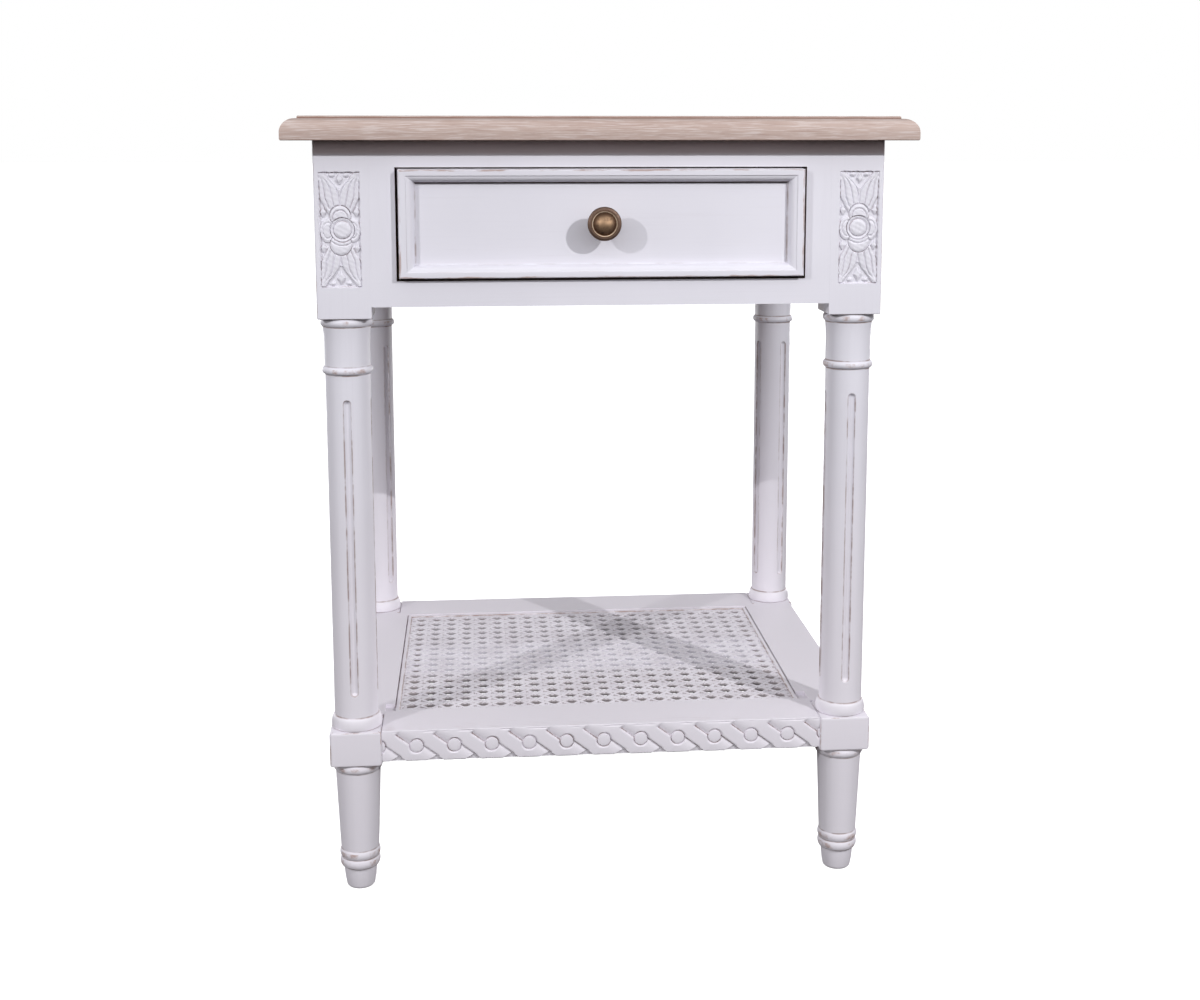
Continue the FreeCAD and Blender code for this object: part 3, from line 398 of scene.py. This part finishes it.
def make_top():
    """A board with a rounded nose, and a quirk darkened as painted shade and a small step above it."""
    low, high, flat = LEG_TOP, LEG_TOP + TOP_THICK, 40
    # painted shade: the underside's edge and the quirk are marked darker
    under = [(flat, low, 0, 0), (1.0, low, 0.6, 0), (0.3, low + 0.3, 0.5, 0), (0, low + 1.0, 0, 0.3)]
    nose = [(0, low + 5.2, 0, 0)]
    nose += [(x, z, 0, 0) for x, z in arc((11.0, low + 6.0), 11.0, 180, 90, 11)]
    quirk = [(11.9, low + 17, 0.9, 0), (12.4, low + 17.1, 1, 0), (12.5, low + 18.5, 0.1, 0)]
    above = [(12.8, low + 18.85, 0, 0.8), (13.4, high, 0.5, 0), (15.0, high, 0, 0), (flat, high, 0, 0)]
    shell = ring_sweep(TOP_HALF_X, TOP_HALF_Y, under + nose + quirk + above, lambda x, y, z: (x, y, z))
    points, faces = shell[:2]
    last = len(points)
    faces.append([3, 2, 1, 0])
    faces.append([last - 4, last - 3, last - 2, last - 1])
    new_piece("tabletop_moulded", [shell], "frame", oak, ["tabletop"])


# Legs


def bead(low, high, radius, swell, top_glaze_and_shade=1.0):
    """A turned bead: its creases get brown glazing and painted shade, and its crest is rubbed."""
    # painted shade: creases darken past brown, and a top crease under a block can turn near black
    count, crease, rubbed = 9, 1.25, 0.8
    reach = ((high - low) ** 2 / 4 + swell ** 2) / (2 * swell)
    points = []
    for share in np.linspace(0, 1, count):
        offset = (share - 0.5) * (high - low)
        bulge = math.sqrt(reach ** 2 - offset ** 2) - (reach - swell)
        crest = 1 - abs(2 * share - 1)
        glazed_and_shaded = (crest == 0) * (top_glaze_and_shade if share == 1 else crease)
        points.append((radius + bulge, low + share * (high - low), glazed_and_shaded, rubbed * (crest > 0.4)))
    return points


def straight(low, high, start, stop):
    """A plain length of turning, with clean rings next to its ends."""
    clean = 1.2 / (high - low)
    shares = (0, clean, 1 - clean, 1)
    marks = (0.8, 0, 0, 0.8)
    points = []
    for share, glazed_and_shaded in zip(shares, marks):
        points.append((start + (stop - start) * share, low + (high - low) * share, glazed_and_shaded, 0))
    return points


def cushion(low, high, radius, swell):
    """A turned cushion, widest near the block that it sits on."""
    widest = low + 0.22 * (high - low)
    # painted shade: darker where the cushion sits on the block
    points = [(radius + 0.6 * swell, low, 1.3, 0), (radius + 0.92 * swell, low + 0.8, 0.2, 0.4)]
    for share in np.linspace(0, 1, 10):
        bulge = swell * math.sqrt(1 - share ** 2)
        level = widest + share * (high - widest)
        points.append((radius + bulge, level, 0.9 * (share == 1), 0.5 * (share < 0.3)))
    return points


def foot_profile():
    """A rounded toe, two rings, a taper and the shoulder below the shelf."""
    toe = [(9.2, 0, 0.3, 0.4)]
    toe += [(x, z, 0, 0.4) for x, z in arc((9.2, 2.8), 2.8, -70, 0, 5)]
    toe += [(12.9, 8.0, 0, 0), (13.5, 14.0, 0, 0), (13.7, TOE_HIGH - 1, 0, 0), (13.7, TOE_HIGH, 0.9, 0)]
    rings = bead(TOE_HIGH, RING_HIGH, 15.5, 1.3) + bead(RING_HIGH, TAPER_LOW, 15.7, 1.3)
    taper = straight(TAPER_LOW, TAPER_HIGH, 15.9, 18.7)
    # painted shade: near black where the taper's bead meets the shelf's block
    return toe + rings + taper + bead(TAPER_HIGH, SHELF_LOW, 18.7, 1.9, top_glaze_and_shade=1.8)


def shaft_profile():
    """Base cushion, fluted shaft, collar, neck and shoulder, with close levels at the flutes' ends."""
    ends = np.linspace(0, FLUTE_HALF + 1.5, 9)
    levels = [FLUTE_LOW + FLUTE_HALF - value for value in ends[::-1]]
    levels += [FLUTE_HIGH - FLUTE_HALF + value for value in ends]
    shaft = [(SHAFT_RADIUS, level, 0, 0) for level in [SHAFT_LOW + 1.2] + levels + [COLLAR_LOW - 1.2]]
    base = cushion(SHELF_HIGH, SHAFT_LOW, SHAFT_RADIUS, 2.7)
    collar = bead(COLLAR_LOW, COLLAR_HIGH, SHAFT_RADIUS, 2.4)
    neck = [(18.5, COLLAR_HIGH, 0.8, 0), (18.5, COLLAR_HIGH + 1.2, 0, 0), (18.4, 464, 0, 0)]
    neck += [(18.7, 473, 0, 0), (19.3, SHOULDER_LOW - 0.8, 0, 0)]
    # painted shade: near black where the shoulder meets the high block
    return base + shaft + collar + neck + bead(SHOULDER_LOW, HIGH_BLOCK, 19.3, 1.9, top_glaze_and_shade=1.8)


def flute_at(level, offset):
    """Depth of a flute and the brown line of glazing and painted shade at its lip, at a level and a distance
    round the shaft from its middle.
    """
    beyond = max(FLUTE_LOW + FLUTE_HALF - level, level - FLUTE_HIGH + FLUTE_HALF, 0)
    away = math.hypot(offset, beyond)
    depth = max(math.sqrt(max(FLUTE_RADIUS ** 2 - away ** 2, 0)) - FLUTE_RISE, 0)
    return depth, 0.95 * math.exp(-((away - FLUTE_HALF) / 0.5) ** 2)


def turned(profile, x, y, turn):
    """A closed turning, fine at its four flutes; profile points are radius, level, glaze and rub."""
    quarter = SHAFT_RADIUS * math.pi / 4
    fine = [0, 0.8, 1.6, 2.3, 2.8, FLUTE_HALF, FLUTE_HALF + 0.5, FLUTE_HALF + 1.4, 6.5, 9, 11.5, quarter]
    offsets = [-value for value in fine[:0:-1]] + fine[:-1]
    rows = [profile[0]]
    for row in profile[1:]:
        if math.dist(row[:2], rows[-1][:2]) > 0.01:
            rows.append(row)
    points, glaze_and_shade, rub = [], [], []
    for radius, level, glazed_and_shaded, rubbed in rows:
        for flute in range(4):
            for offset in offsets:
                depth, lip = flute_at(level, offset)
                angle = math.radians(turn + 90 * flute) + offset / SHAFT_RADIUS
                reach = radius - depth
                points.append((x + reach * math.sin(angle), y - reach * math.cos(angle), level))
                glaze_and_shade.append(max(glazed_and_shaded, lip))
                rub.append(rubbed)
    count = 4 * len(offsets)
    faces = strips(len(rows), count, closed=True)
    faces.append(list(range(count))[::-1])
    faces.append(list(range(count * (len(rows) - 1), count * len(rows))))
    return points, faces, glaze_and_shade, rub


def soft_block(x, y, low, high, radii, ease, middle_levels=(), eased_top=True):
    """A closed square block with rounded uprights and eased ends, cut across at the middle levels."""
    outline, worn = [], []
    for sign_x, sign_y, start, soft in zip((1, 1, -1, -1), (-1, 1, 1, -1), (270, 0, 90, 180), radii):
        centre = (sign_x * (BLOCK_HALF - soft), sign_y * (BLOCK_HALF - soft))
        outline += arc(centre, soft, start, start + 90, CORNER_POINTS)
        worn += [0, 0.4, 1, 0.4, 0] if soft > BLOCK_TIGHT else [0] * CORNER_POINTS
    rounding = [(0, ease, 0.3), (0.3 * ease, 0.3 * ease, 0.9), (ease, 0, 0)]
    # painted shade: the lowest ring of the block is darkened towards black
    levels = [(low + rise, inset, rubbed, 1.4 * (rise == 0)) for rise, inset, rubbed in rounding]
    levels += [(level, 0, 0, 0) for level in middle_levels]
    if eased_top:
        levels += [(high - drop, inset, rubbed, 0) for drop, inset, rubbed in rounding[::-1]]
    else:
        levels.append((high, 0, 0, 0))
    count = len(outline)
    points, glaze_and_shade, rub = [], [], []
    for level, inset, rubbed, glazed_and_shaded in levels:
        scale = (BLOCK_HALF - inset) / BLOCK_HALF
        points += [(x + px * scale, y + py * scale, level) for px, py in outline]
        glaze_and_shade += [glazed_and_shaded] * count
        rub += [max(value, rubbed) for value in worn]
    faces = strips(len(levels), count, closed=True)
    faces.append(list(range(count))[::-1])
    faces.append(list(range(count * (len(levels) - 1), count * len(levels))))
    return points, faces, glaze_and_shade, rub


# Carving


def smooth(value, low, high):
    share = np.clip((value - low) / (high - low), 0, 1)
    return share * share * (3 - 2 * share)


def groove(distance, width):
    return np.exp(-(distance / width) ** 2)


def blurred(field, times):
    for _ in range(times):
        padded = np.pad(field, 1, mode="edge")
        field = (padded[:-2, 1:-1] + padded[2:, 1:-1] + padded[1:-1, :-2] + padded[1:-1, 2:]) / 4
    return field


def carved_face(across, upwards, depth, face, hollow_gain, ridge_gain):
    """A fine grid in a front face: depth is how far each point lies behind it."""
    # brown glazing and painted shade in the hollows, from how far each point lies below its neighbours
    hollow = np.clip((depth - blurred(depth, 8)) * hollow_gain - 0.12, 0, 1)
    ridge = np.clip((blurred(depth, 4) - depth) * ridge_gain, 0, 1)
    grid_x, grid_z = np.meshgrid(across, upwards)
    points = np.stack([grid_x, face + depth, grid_z], axis=-1).reshape(-1, 3).tolist()
    faces = strips(len(upwards), len(across))
    return points, faces, hollow.ravel().tolist(), ridge.ravel().tolist()


def laid_over(height, gap, top):
    """A shape laid over what is carved already: gap is the distance inside its outline."""
    sunk = height * (0.25 + 0.75 * smooth(-gap, 0, 0.7))
    rounded = 0.65 * smooth(gap, 0, 0.5) + 0.35 * smooth(gap, 0, 2.4)
    return np.where(gap > 0, top * rounded, sunk)


def leaf_height(x, climb, notch, lean):
    """A pair of veined leaves that spread from the flower and bend out to the panel's corners."""
    side = np.abs(x)
    inner = lean * np.clip(climb - notch, 0, None)
    outer = np.interp(climb, (9.0, 13.6, 25.0, 45.0), (7.0, 9.5, 15.4, 16.0))
    share = (side - inner) / np.maximum(outer - inner, 0.5)
    split = np.where(climb > notch, (side - inner) * 0.75, 4.0)
    gap = np.minimum.reduce([split, (outer - side) * 0.85, 44.9 - climb])
    crown = 0.62 + 0.38 * np.sin(math.pi * np.clip(share, 0, 1))
    height = 1.5 * smooth(gap, 0, 0.6) * crown
    bend = np.clip((climb - 12) / 32, 0, 1) ** 4
    veins = sum(groove(side - (start + (1 - start) * bend) * outer, 0.6) for start in (0, 0.36, 0.72))
    return np.clip(height - 0.8 * veins * smooth(climb, 14, 18) * smooth(climb, 43, 36), 0, None)


def bud_height(x, climb, tip, reach, half):
    """A bud between the leaves' tips, with a small lobe at each side of it."""
    side = np.abs(x)
    middle = 1 - side / half - np.abs(climb - tip - reach) / reach
    lobes = 1 - np.hypot((side - half - 3.0) / 2.4, (climb - tip - 1.7 * reach) / 1.9)
    return 1.5 * np.sqrt(np.clip(np.maximum(middle * 2, lobes), 0, 1))


def panel_depth(x, z, disc_shift):
    """A rosette between two pairs of leaves, carved in a sunk panel."""
    top_pair = np.maximum(leaf_height(x, z, 31.8, 0.88), bud_height(x, z, 35.0, 4.6, 2.6))
    low_pair = np.maximum(leaf_height(x, -z, 28.5, 0.76), bud_height(x, -z, 32.0, 6.0, 3.4))
    height = np.where(z > 0, top_pair, low_pair)
    side, rise = np.abs(x), np.abs(z)
    leaflet = (1 - np.abs(side - 13.0) / 2.6 - np.abs(rise - 14.0) / 4.6) * 2.0
    height = laid_over(height, leaflet, 1.3)
    wing = (1 - np.hypot((side - 9.5) / 6.3, (z + 0.5) / 9.8)) * 6.3
    height = laid_over(height, wing, 1.4 - 0.6 * groove(wing - 2.3, 0.5))
    arch = groove(np.hypot(x - 0.3, z - 9.5) - 5.9, 0.55)
    height = laid_over(height, 8.2 - np.hypot(x - 0.2, z - 11.1), 1.5 - 0.8 * arch)
    away = np.hypot(x - disc_shift, z)
    ring, disc = 9.6 - away, 7.0 - away
    height = laid_over(height, 8.6 - np.hypot(x - 0.4, z + 11.5), 1.5 - 0.6 * groove(away - 12.4, 0.5))
    height = laid_over(height, ring, 0.45 + 0.85 * smooth(away, 7.4, 9.1))
    height = laid_over(height, disc, 1.5)
    uneven = 0.1 * np.sin(x * 1.3 + z * 0.7) * np.sin(z * 0.9 - x * 0.5)
    side_edge = PANEL_HALF - side - 0.3 - 0.2 * np.sin(z * 0.5) - 0.15 * np.sin(z * 1.4 + x)
    end_edge = (PANEL_HIGH - PANEL_LOW) / 2 - rise - 0.3 - 0.2 * np.sin(x * 0.7) - 0.15 * np.sin(x * 1.7 + z)
    wall = smooth(side_edge, -0.1, 1.1) * smooth(end_edge, -0.1, 0.6)
    return np.clip(PANEL_DEPTH * (1 - (height - uneven) / CARVED_RISE) * wall, 0, PANEL_DEPTH)


def carved_block(x, y, side):
    """The high block of a front leg as one closed shell, with the carving let into its front face."""
    tight_corner = 0 if side < 0 else 3
    radii = [BLOCK_TIGHT if corner == tight_corner else BLOCK_SOFT for corner in range(4)]
    ends = (PANEL_LOW, PANEL_HIGH)
    points, faces, glaze_and_shade, rub = soft_block(x, y, HIGH_BLOCK, LEG_TOP, radii, 1.0, ends, False)
    count = 4 * CORNER_POINTS
    starts = [row * count for row in (2, 3, 4)]
    front = [[start + count - 1, start, start + count, start + 2 * count - 1] for start in starts]
    faces = [face for face in faces if face not in front]
    across = np.linspace(-PANEL_HALF, PANEL_HALF, 112)
    upwards = np.linspace(PANEL_LOW, PANEL_HIGH, 306)
    grid_x, grid_z = np.meshgrid(across, upwards - (PANEL_LOW + PANEL_HIGH) / 2)
    depth = panel_depth(grid_x, grid_z, disc_shift=0.7 - side)
    places = x + side * PANEL_SHIFT + across
    carving = carved_face(places, upwards, depth, y - BLOCK_HALF, hollow_gain=1.4, ridge_gain=0.3)
    first = len(points)
    bottom, top, left, right = grid_sides(first, len(across), len(upwards))
    low_left, low_right, sill_right, sill_left = front[0]
    head_left, head_right, high_right, high_left = front[2]
    faces += [[index + first for index in face] for face in carving[1]]
    faces.append([low_left, low_right, sill_right] + bottom[::-1] + [sill_left])
    faces.append([head_left] + top + [head_right, high_right, high_left])
    faces.append([sill_left] + left + [head_left])
    faces.append([sill_right, head_right] + right[::-1])
    return points + carving[0], faces, glaze_and_shade + carving[2], rub + carving[3]


def make_leg(name, side, end, turn):
    """A leg from the floor to the top, carved in front if it is a front one."""
    x, y = side * LEG_X, end * LEG_Y
    shells = [turned(foot_profile(), x, y, turn)]
    shells.append(soft_block(x, y, SHELF_LOW, SHELF_HIGH, [BLOCK_WORN] * 4, 2.2))
    shells.append(turned(shaft_profile(), x, y, turn))
    if end < 0:
        shells.append(carved_block(x, y, side))
    else:
        shells.append(soft_block(x, y, HIGH_BLOCK, LEG_TOP, [BLOCK_SOFT] * 4, 1.0, (), False))
    new_piece(f"{name}_turned", shells, "frame", leg_paint, [name])


# Band of twisted ribbon along the shelf


def ribbon_depth(x, z):
    """How deep the band lies round one disc at the origin, with the ribbons above and below it."""
    slope = math.radians(37.5)
    rise = x * math.sin(slope) + z * math.cos(slope)
    along = x * math.cos(slope) - z * math.sin(slope)
    away = np.hypot(x, z)
    disc, edge_above, edge_below = 5.3, 3.9, -3.0
    under = 2.5 * np.exp(-np.clip(edge_above - rise, 0, 9) / 3.0) * (rise < edge_above)
    lip = 0.8 * np.exp(-np.clip(rise - edge_above, 0, 9) / 0.5) * (rise >= edge_above)
    under = np.maximum(under, lip) * smooth(along, 2.0, 4.5) * smooth(along, 21.5, 19.5)
    recess = 2.6 * np.exp(-np.clip(rise - edge_below, 0, 9) / 3.2) * (rise > edge_below)
    lip = 0.7 * np.exp(-np.clip(edge_below - rise, 0, 9) / 0.5) * (rise <= edge_below)
    recess = np.maximum(recess, lip) * smooth(-along, 2.5, 5.5) * smooth(-along, 21, 18)
    ring = 1.8 * groove(away - 5.8, 0.75)
    tip = 2.2 * smooth(edge_above - rise, 0.2, 0.8) * smooth(along, 12, 13)
    tip = tip * smooth(x + 1.75 * (-z - 8.5), 16.2, 17.4)
    depth = np.maximum.reduce([under, recess, ring, tip])
    return np.where(away < disc, 0.15 + 0.35 * (away / disc) ** 3, depth)


def make_twist_rail():
    """The shelf's front rail: the band in its face, the cane's bed and groove behind."""
    left, right, low, high, face = -184.5, 184.5, 115.8, SHELF_HIGH, -186.5
    middle, pitch, phase = 128.8, 31.3, 0.5
    across = np.linspace(left, right, 880)
    upwards = np.linspace(low, high, 68)
    x, z = np.meshgrid(across, upwards - middle)
    local = (x - phase + pitch / 2) % pitch - pitch / 2
    depth = np.maximum.reduce([ribbon_depth(local - shift * pitch, z) for shift in (-1, 0, 1)])
    top_line = 0.5 * groove(z - 12.3, 0.45) * smooth(np.sin(x * 0.21) + np.sin(x * 0.083), -0.4, 0.4)
    depth = np.maximum(depth, top_line)
    crown = 0.35 * (z / 13.0) ** 4
    rounded = 1.4 * smooth(-z, 12.0, 13.1) + 0.9 * smooth(z, 13.0, 13.7)
    depth = np.maximum(depth + crown, rounded)
    points, faces, glaze_and_shade, rub = carved_face(across, upwards, depth, face, hollow_gain=1.2, ridge_gain=0.7)
    back, groove_back, groove_floor = -121.5, -133.5, 133.0
    section = [(back, low), (back, CANE_LEVEL), (groove_back, CANE_LEVEL), (groove_back, groove_floor)]
    section += [(-BED_Y, groove_floor), (-BED_Y, high - 0.8), (-BED_Y - 0.8, high)]
    bottom, top, left_side, right_side = grid_sides(0, len(across), len(upwards))
    lefts = [len(points) + 2 * index for index in range(len(section))]
    rights = [index + 1 for index in lefts]
    points += [(x, y, z) for y, z in section for x in (left, right)]
    glaze_and_shade += [0] * 2 * len(section)
    rub += [0] * 2 * len(section)
    faces.append(bottom[::-1] + [lefts[0], rights[0]])
    faces += [[rights[i], lefts[i], lefts[i + 1], rights[i + 1]] for i in range(len(section) - 1)]
    faces.append([rights[-1], lefts[-1]] + top)
    faces.append(left_side + lefts[::-1])
    faces.append(rights + right_side[::-1])
    shell = (points, faces, glaze_and_shade, rub)
    replaced = ["shelf_front_rail"]
    new_piece("shelf_front_rail_carved", [shell], "frame", shelf_paint["x"], replaced)


# Mouldings of the drawer and splines of the cane


def make_mouldings():
    """An outer fillet, a quarter round and a quirk next to the panel, wider at the drawer's sides; the quirk
    and the outer sides are darkened as painted shade.
    """
    half_x, low, high, back = 161.8, 518.9, 604.4, -186.0
    middle, half_z = (low + high) / 2, (high - low) / 2
    proud, width, side_width = 1.4, 11.0, 13.5
    # painted shade: the quirk is darkest on the top moulding, whose step faces down
    quirk_glaze_and_shade = {"bottom": 0.3, "right": 0.6, "top": 1.9, "left": 0.6}

    def in_front(x, z, level):
        return x, back - proud * level, middle + z

    for side, (word, glaze_and_shade) in enumerate(quirk_glaze_and_shade.items()):
        # painted shade: the outer sides are near black at the back, in the drawer's gap
        profile = [(0, 0, 1.5, 0), (0, 1.2, 1.2, 0), (0, 3.0, 0.2, 0)]
        profile += [(x, z, 0, 0.88) for x, z in arc((0.9, 5.1), 0.9, 180, 90, 5)]
        profile += [(4.6, 6.0, 0, 0), (4.9, 5.85, 0.2, 0.88), (5.1, 5.55, 0.3, 0)]
        profile += [(x, z * 0.98, 0, 0) for x, z in arc((5.2, 0.9), 4.6, 88, 14, 9)]
        profile += [(9.9, 1.6, glaze_and_shade / 2, 0), (10.2, 0.6, glaze_and_shade, 0)]
        profile += [(width, 0.5, glaze_and_shade, 0), (width, 0, glaze_and_shade, 0)]
        shell = ring_sweep(half_x, half_z, profile, in_front, side_width / width)
        along = "x" if side % 2 == 0 else "z"
        replaced = f"drawer_moulding_{word}"
        pieces = [mitred_side(shell, side)]
        new_piece(f"{replaced}_shaped", pieces, "drawer", paint[along], [replaced], angle=50)


def make_splines():
    """Rounded strips that hold the cane in its groove, mitred at the corners, with brown glazing at their
    shoulders and painted shade on their sides in the groove.
    """
    profile = [(0.4, 136.0, 1.3, 0), (0.4, 140.6, 1.1, 0), (0.9, 141.35, 0.7, 0.3), (1.6, 141.65, 0, 0.5)]
    profile += [(2.5, 141.7, 0, 0.6), (3.4, 141.65, 0, 0.5), (4.1, 141.35, 0.7, 0.3), (4.6, 140.6, 1.1, 0)]
    profile += [(4.6, 136.0, 1.3, 0)]
    shell = ring_sweep(BED_X, BED_Y, profile, lambda x, y, z: (x, y, z))
    for side, word in enumerate(("front", "right", "rear", "left")):
        along = "x" if side % 2 == 0 else "y"
        replaced = f"cane_spline_{word}"
        closed = mitred_side(shell, side)
        new_piece(f"{replaced}_rounded", [closed], "frame", paint[along], [replaced])


# Woven cane


def strand(path, width):
    """A flat closed strand along a path of points: its edges get brown glazing and its sides the painted
    shade and light of the holes.
    """
    bottom = 137.7
    points, glaze_and_shade = [], []
    for index, (x, y, z) in enumerate(path):
        before, after = path[max(index - 1, 0)], path[min(index + 1, len(path) - 1)]
        way = Vector((after[0] - before[0], after[1] - before[1]))
        way.normalize()
        # painted shade and light: sides marked 2 take the holes' painted tone
        section = [(-0.5, bottom, 2), (-0.5, z - 0.4, 0.7), (-0.3, z - 0.06, 0)]
        section += [(0.3, z - 0.06, 0), (0.5, z - 0.4, 0.7), (0.5, bottom, 2)]
        for share, level, glazed_and_shaded in section:
            reach = share * width
            points.append((x + way.y * reach, y - way.x * reach, level))
            glaze_and_shade.append(glazed_and_shaded)
    faces = strips(len(path), 6, closed=True)
    faces.append(list(range(6))[::-1])
    faces.append(list(range(len(points) - 6, len(points))))
    return points, faces, glaze_and_shade, [0] * len(points)


def weave(start, stop, pitch, level, swing, turn):
    """Places along a strand and its level at each, which swings as a sine or cosine does."""
    places = np.arange(start, stop, pitch / 4)
    return [(place, level + swing * turn(2 * math.pi * place / pitch)) for place in places]


def make_cane():
    """Paired strands both ways with diagonals over them, which leaves eight-sided holes."""
    pitch, edge_x, edge_y = 15.44, 172.0, 134.0
    columns, rows, slants = 22, 17, 24
    low, middle, high = 140.1, 140.45, 140.85
    pair, width, slant_width = 1.85, 3.5, 2.8
    shells = []
    for line in range(-columns // 2, columns // 2 + 1):
        for sign in (-1, 1):
            x = line * pitch + sign * pair
            if abs(x) < edge_x:
                wave = weave(-edge_y, edge_y + 1, pitch, low, 0.3 * sign, math.sin)
                shells.append(strand([(x, y, level) for y, level in wave], width))
    for line in range(rows + 1):
        for sign in (-1, 1):
            y = (line - rows / 2) * pitch + sign * pair
            if abs(y) < edge_y:
                wave = weave(-edge_x, edge_x + 1, pitch, middle, -0.3 * sign, math.cos)
                shells.append(strand([(x, y, level) for x, level in wave], width))
    for sign in (-1, 1):
        for line in range(-slants, slants + 1):
            start = line * pitch
            lowest = max(-edge_y, -edge_x - start)
            highest = min(edge_y, edge_x - start)
            if highest - lowest > pitch:
                wave = weave(lowest, highest, pitch, high, 0.2 * sign, math.sin)
                shells.append(strand([(sign * (start + y), y, level) for y, level in wave], slant_width))
    new_piece("cane_woven", shells, "frame", cane_paint, ["cane_panel"], angle=60)


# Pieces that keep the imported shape


def dress(names, material, width=0.0):
    """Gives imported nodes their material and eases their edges."""
    for name in names:
        node = nodes[name]
        node.data.materials.clear()
        node.data.materials.append(material)
        if width:
            ease = node.modifiers.new("eased_edges", "BEVEL")
            ease.width = width
            ease.segments = 2
            ease.limit_method = "ANGLE"
            ease.angle_limit = math.radians(50)
            ease.harden_normals = True


make_top()
for name, side, end, turn in (
    ("leg_front_left", -1, -1, 0), ("leg_front_right", 1, -1, 0),
    ("leg_rear_left", -1, 1, 44), ("leg_rear_right", 1, 1, 28),
):
    make_leg(name, side, end, turn)
make_twist_rail()
make_mouldings()
make_splines()
make_cane()
dress(["front_top_rail", "front_bottom_rail"], frame_paint["x"])
dress(["drawer_stile_left", "drawer_stile_right"], frame_paint["z"])
dress(["back_apron"], edged_paint["x"], 0.8 * MM)
dress(["side_apron_left", "side_apron_right"], edged_paint["y"], 0.8 * MM)
dress(["shelf_rear_rail"], shelf_paint["x"], 0.6 * MM)
dress(["shelf_side_rail_left", "shelf_side_rail_right"], shelf_paint["y"], 0.6 * MM)
dress(["drawer_front"], paint["x"])
dress(["drawer_back", "drawer_bottom"], raw_wood["x"], 0.4 * MM)
dress(["drawer_side_left", "drawer_side_right"], raw_wood["y"], 0.4 * MM)
for word in ("left", "right"):
    timbers = [f"drawer_{kind}_{word}" for kind in ("runner", "kicker", "guide", "stop")]
    dress(timbers, raw_wood["y"], 0.5 * MM)
dress(["knob"], brass)
dress(["knob_screw", "top_screws", "drawer_bottom_screws"], steel)


# Floor, light and camera


def make_floor():
    """A white floor that throws no light back on the piece."""
    mesh = bpy.data.meshes.new("floor")
    half = 40.0
    corners = [(-half, -half, 0), (half, -half, 0), (half, half, 0), (-half, half, 0)]
    mesh.from_pydata(corners, [], [(0, 1, 2, 3)])
    floor = bpy.data.objects.new("floor", mesh)
    scene.collection.objects.link(floor)
    pale = Finish("pale_floor")
    pale.set(base_color=colour(250, 250, 251), roughness=0.9)
    pale.set(emission_color=(1, 1, 1, 1), emission_strength=0.77)
    mesh.materials.append(pale.material)
    floor.visible_diffuse = False
    floor.visible_glossy = False


def make_light(name, place, size, power):
    """A round light aimed at the front of the piece."""
    target = Vector((0, -0.19, 0.45))
    data = bpy.data.lights.new(name, "AREA")
    data.shape = "DISK"
    data.size = size
    data.energy = power
    light = bpy.data.objects.new(name, data)
    light.location = place
    light.rotation_euler = (Vector(place) - target).to_track_quat("Z", "Y").to_euler()
    scene.collection.objects.link(light)


def make_world():
    """A pale room, brighter in front than overhead or behind, dark below, and white to the camera."""
    world = bpy.data.worlds.new("studio")
    world.use_nodes = True
    room = Graph(world.node_tree, "Generated")
    axes = room.axes()
    height = axes["Z"]
    front = room.step(axes["Y"], 0.4, -0.6)
    walls = room.mix(front, (0.36, 0.36, 0.37, 1), (1.05, 1.07, 1.09, 1))
    skirting = room.mix(front, (0.52, 0.51, 0.52, 1), (0.93, 0.91, 0.92, 1))
    walls = room.mix(room.step(height, 0.15, 0.4), skirting, walls)
    walls = room.mix(room.step(height, 0.6, 0.9), walls, (0.4, 0.4, 0.41, 1))
    walls = room.mix(room.step(height, -0.03, 0.03), (0.03, 0.025, 0.022, 1), walls)
    seen = room.add("ShaderNodeLightPath", {}).outputs["Is Camera Ray"]
    room.connect(room.mix(seen, walls, (1, 1, 1, 1)), world.node_tree.nodes["Background"].inputs["Color"])
    scene.world = world


def make_camera():
    data = bpy.data.cameras.new("camera")
    data.sensor_fit = "HORIZONTAL"
    data.sensor_width = 36
    data.lens = 47.07
    data.shift_x = -0.0115
    data.shift_y = -0.0977
    camera = bpy.data.objects.new("camera", data)
    yaw, pitch = math.radians(5.01), math.radians(8.85)
    camera.location = (-0.10114, -1.43938, 0.6285)
    camera.rotation_euler = (math.pi / 2 - pitch, 0, -yaw)
    scene.collection.objects.link(camera)
    scene.camera = camera


make_floor()
make_light("flash_right", (1.0, -1.35, 1.28), 0.008, 14.4)
make_light("flash_left", (-1.35, -1.32, 1.24), 0.008, 10.6)
make_light("fill_rear_right", (1.6, 2.2, 0.45), 1.0, 19)
make_light("fill_rear_left", (-1.6, 2.2, 0.45), 1.0, 19)
make_world()
make_camera()
scene.view_settings.view_transform = "Standard"
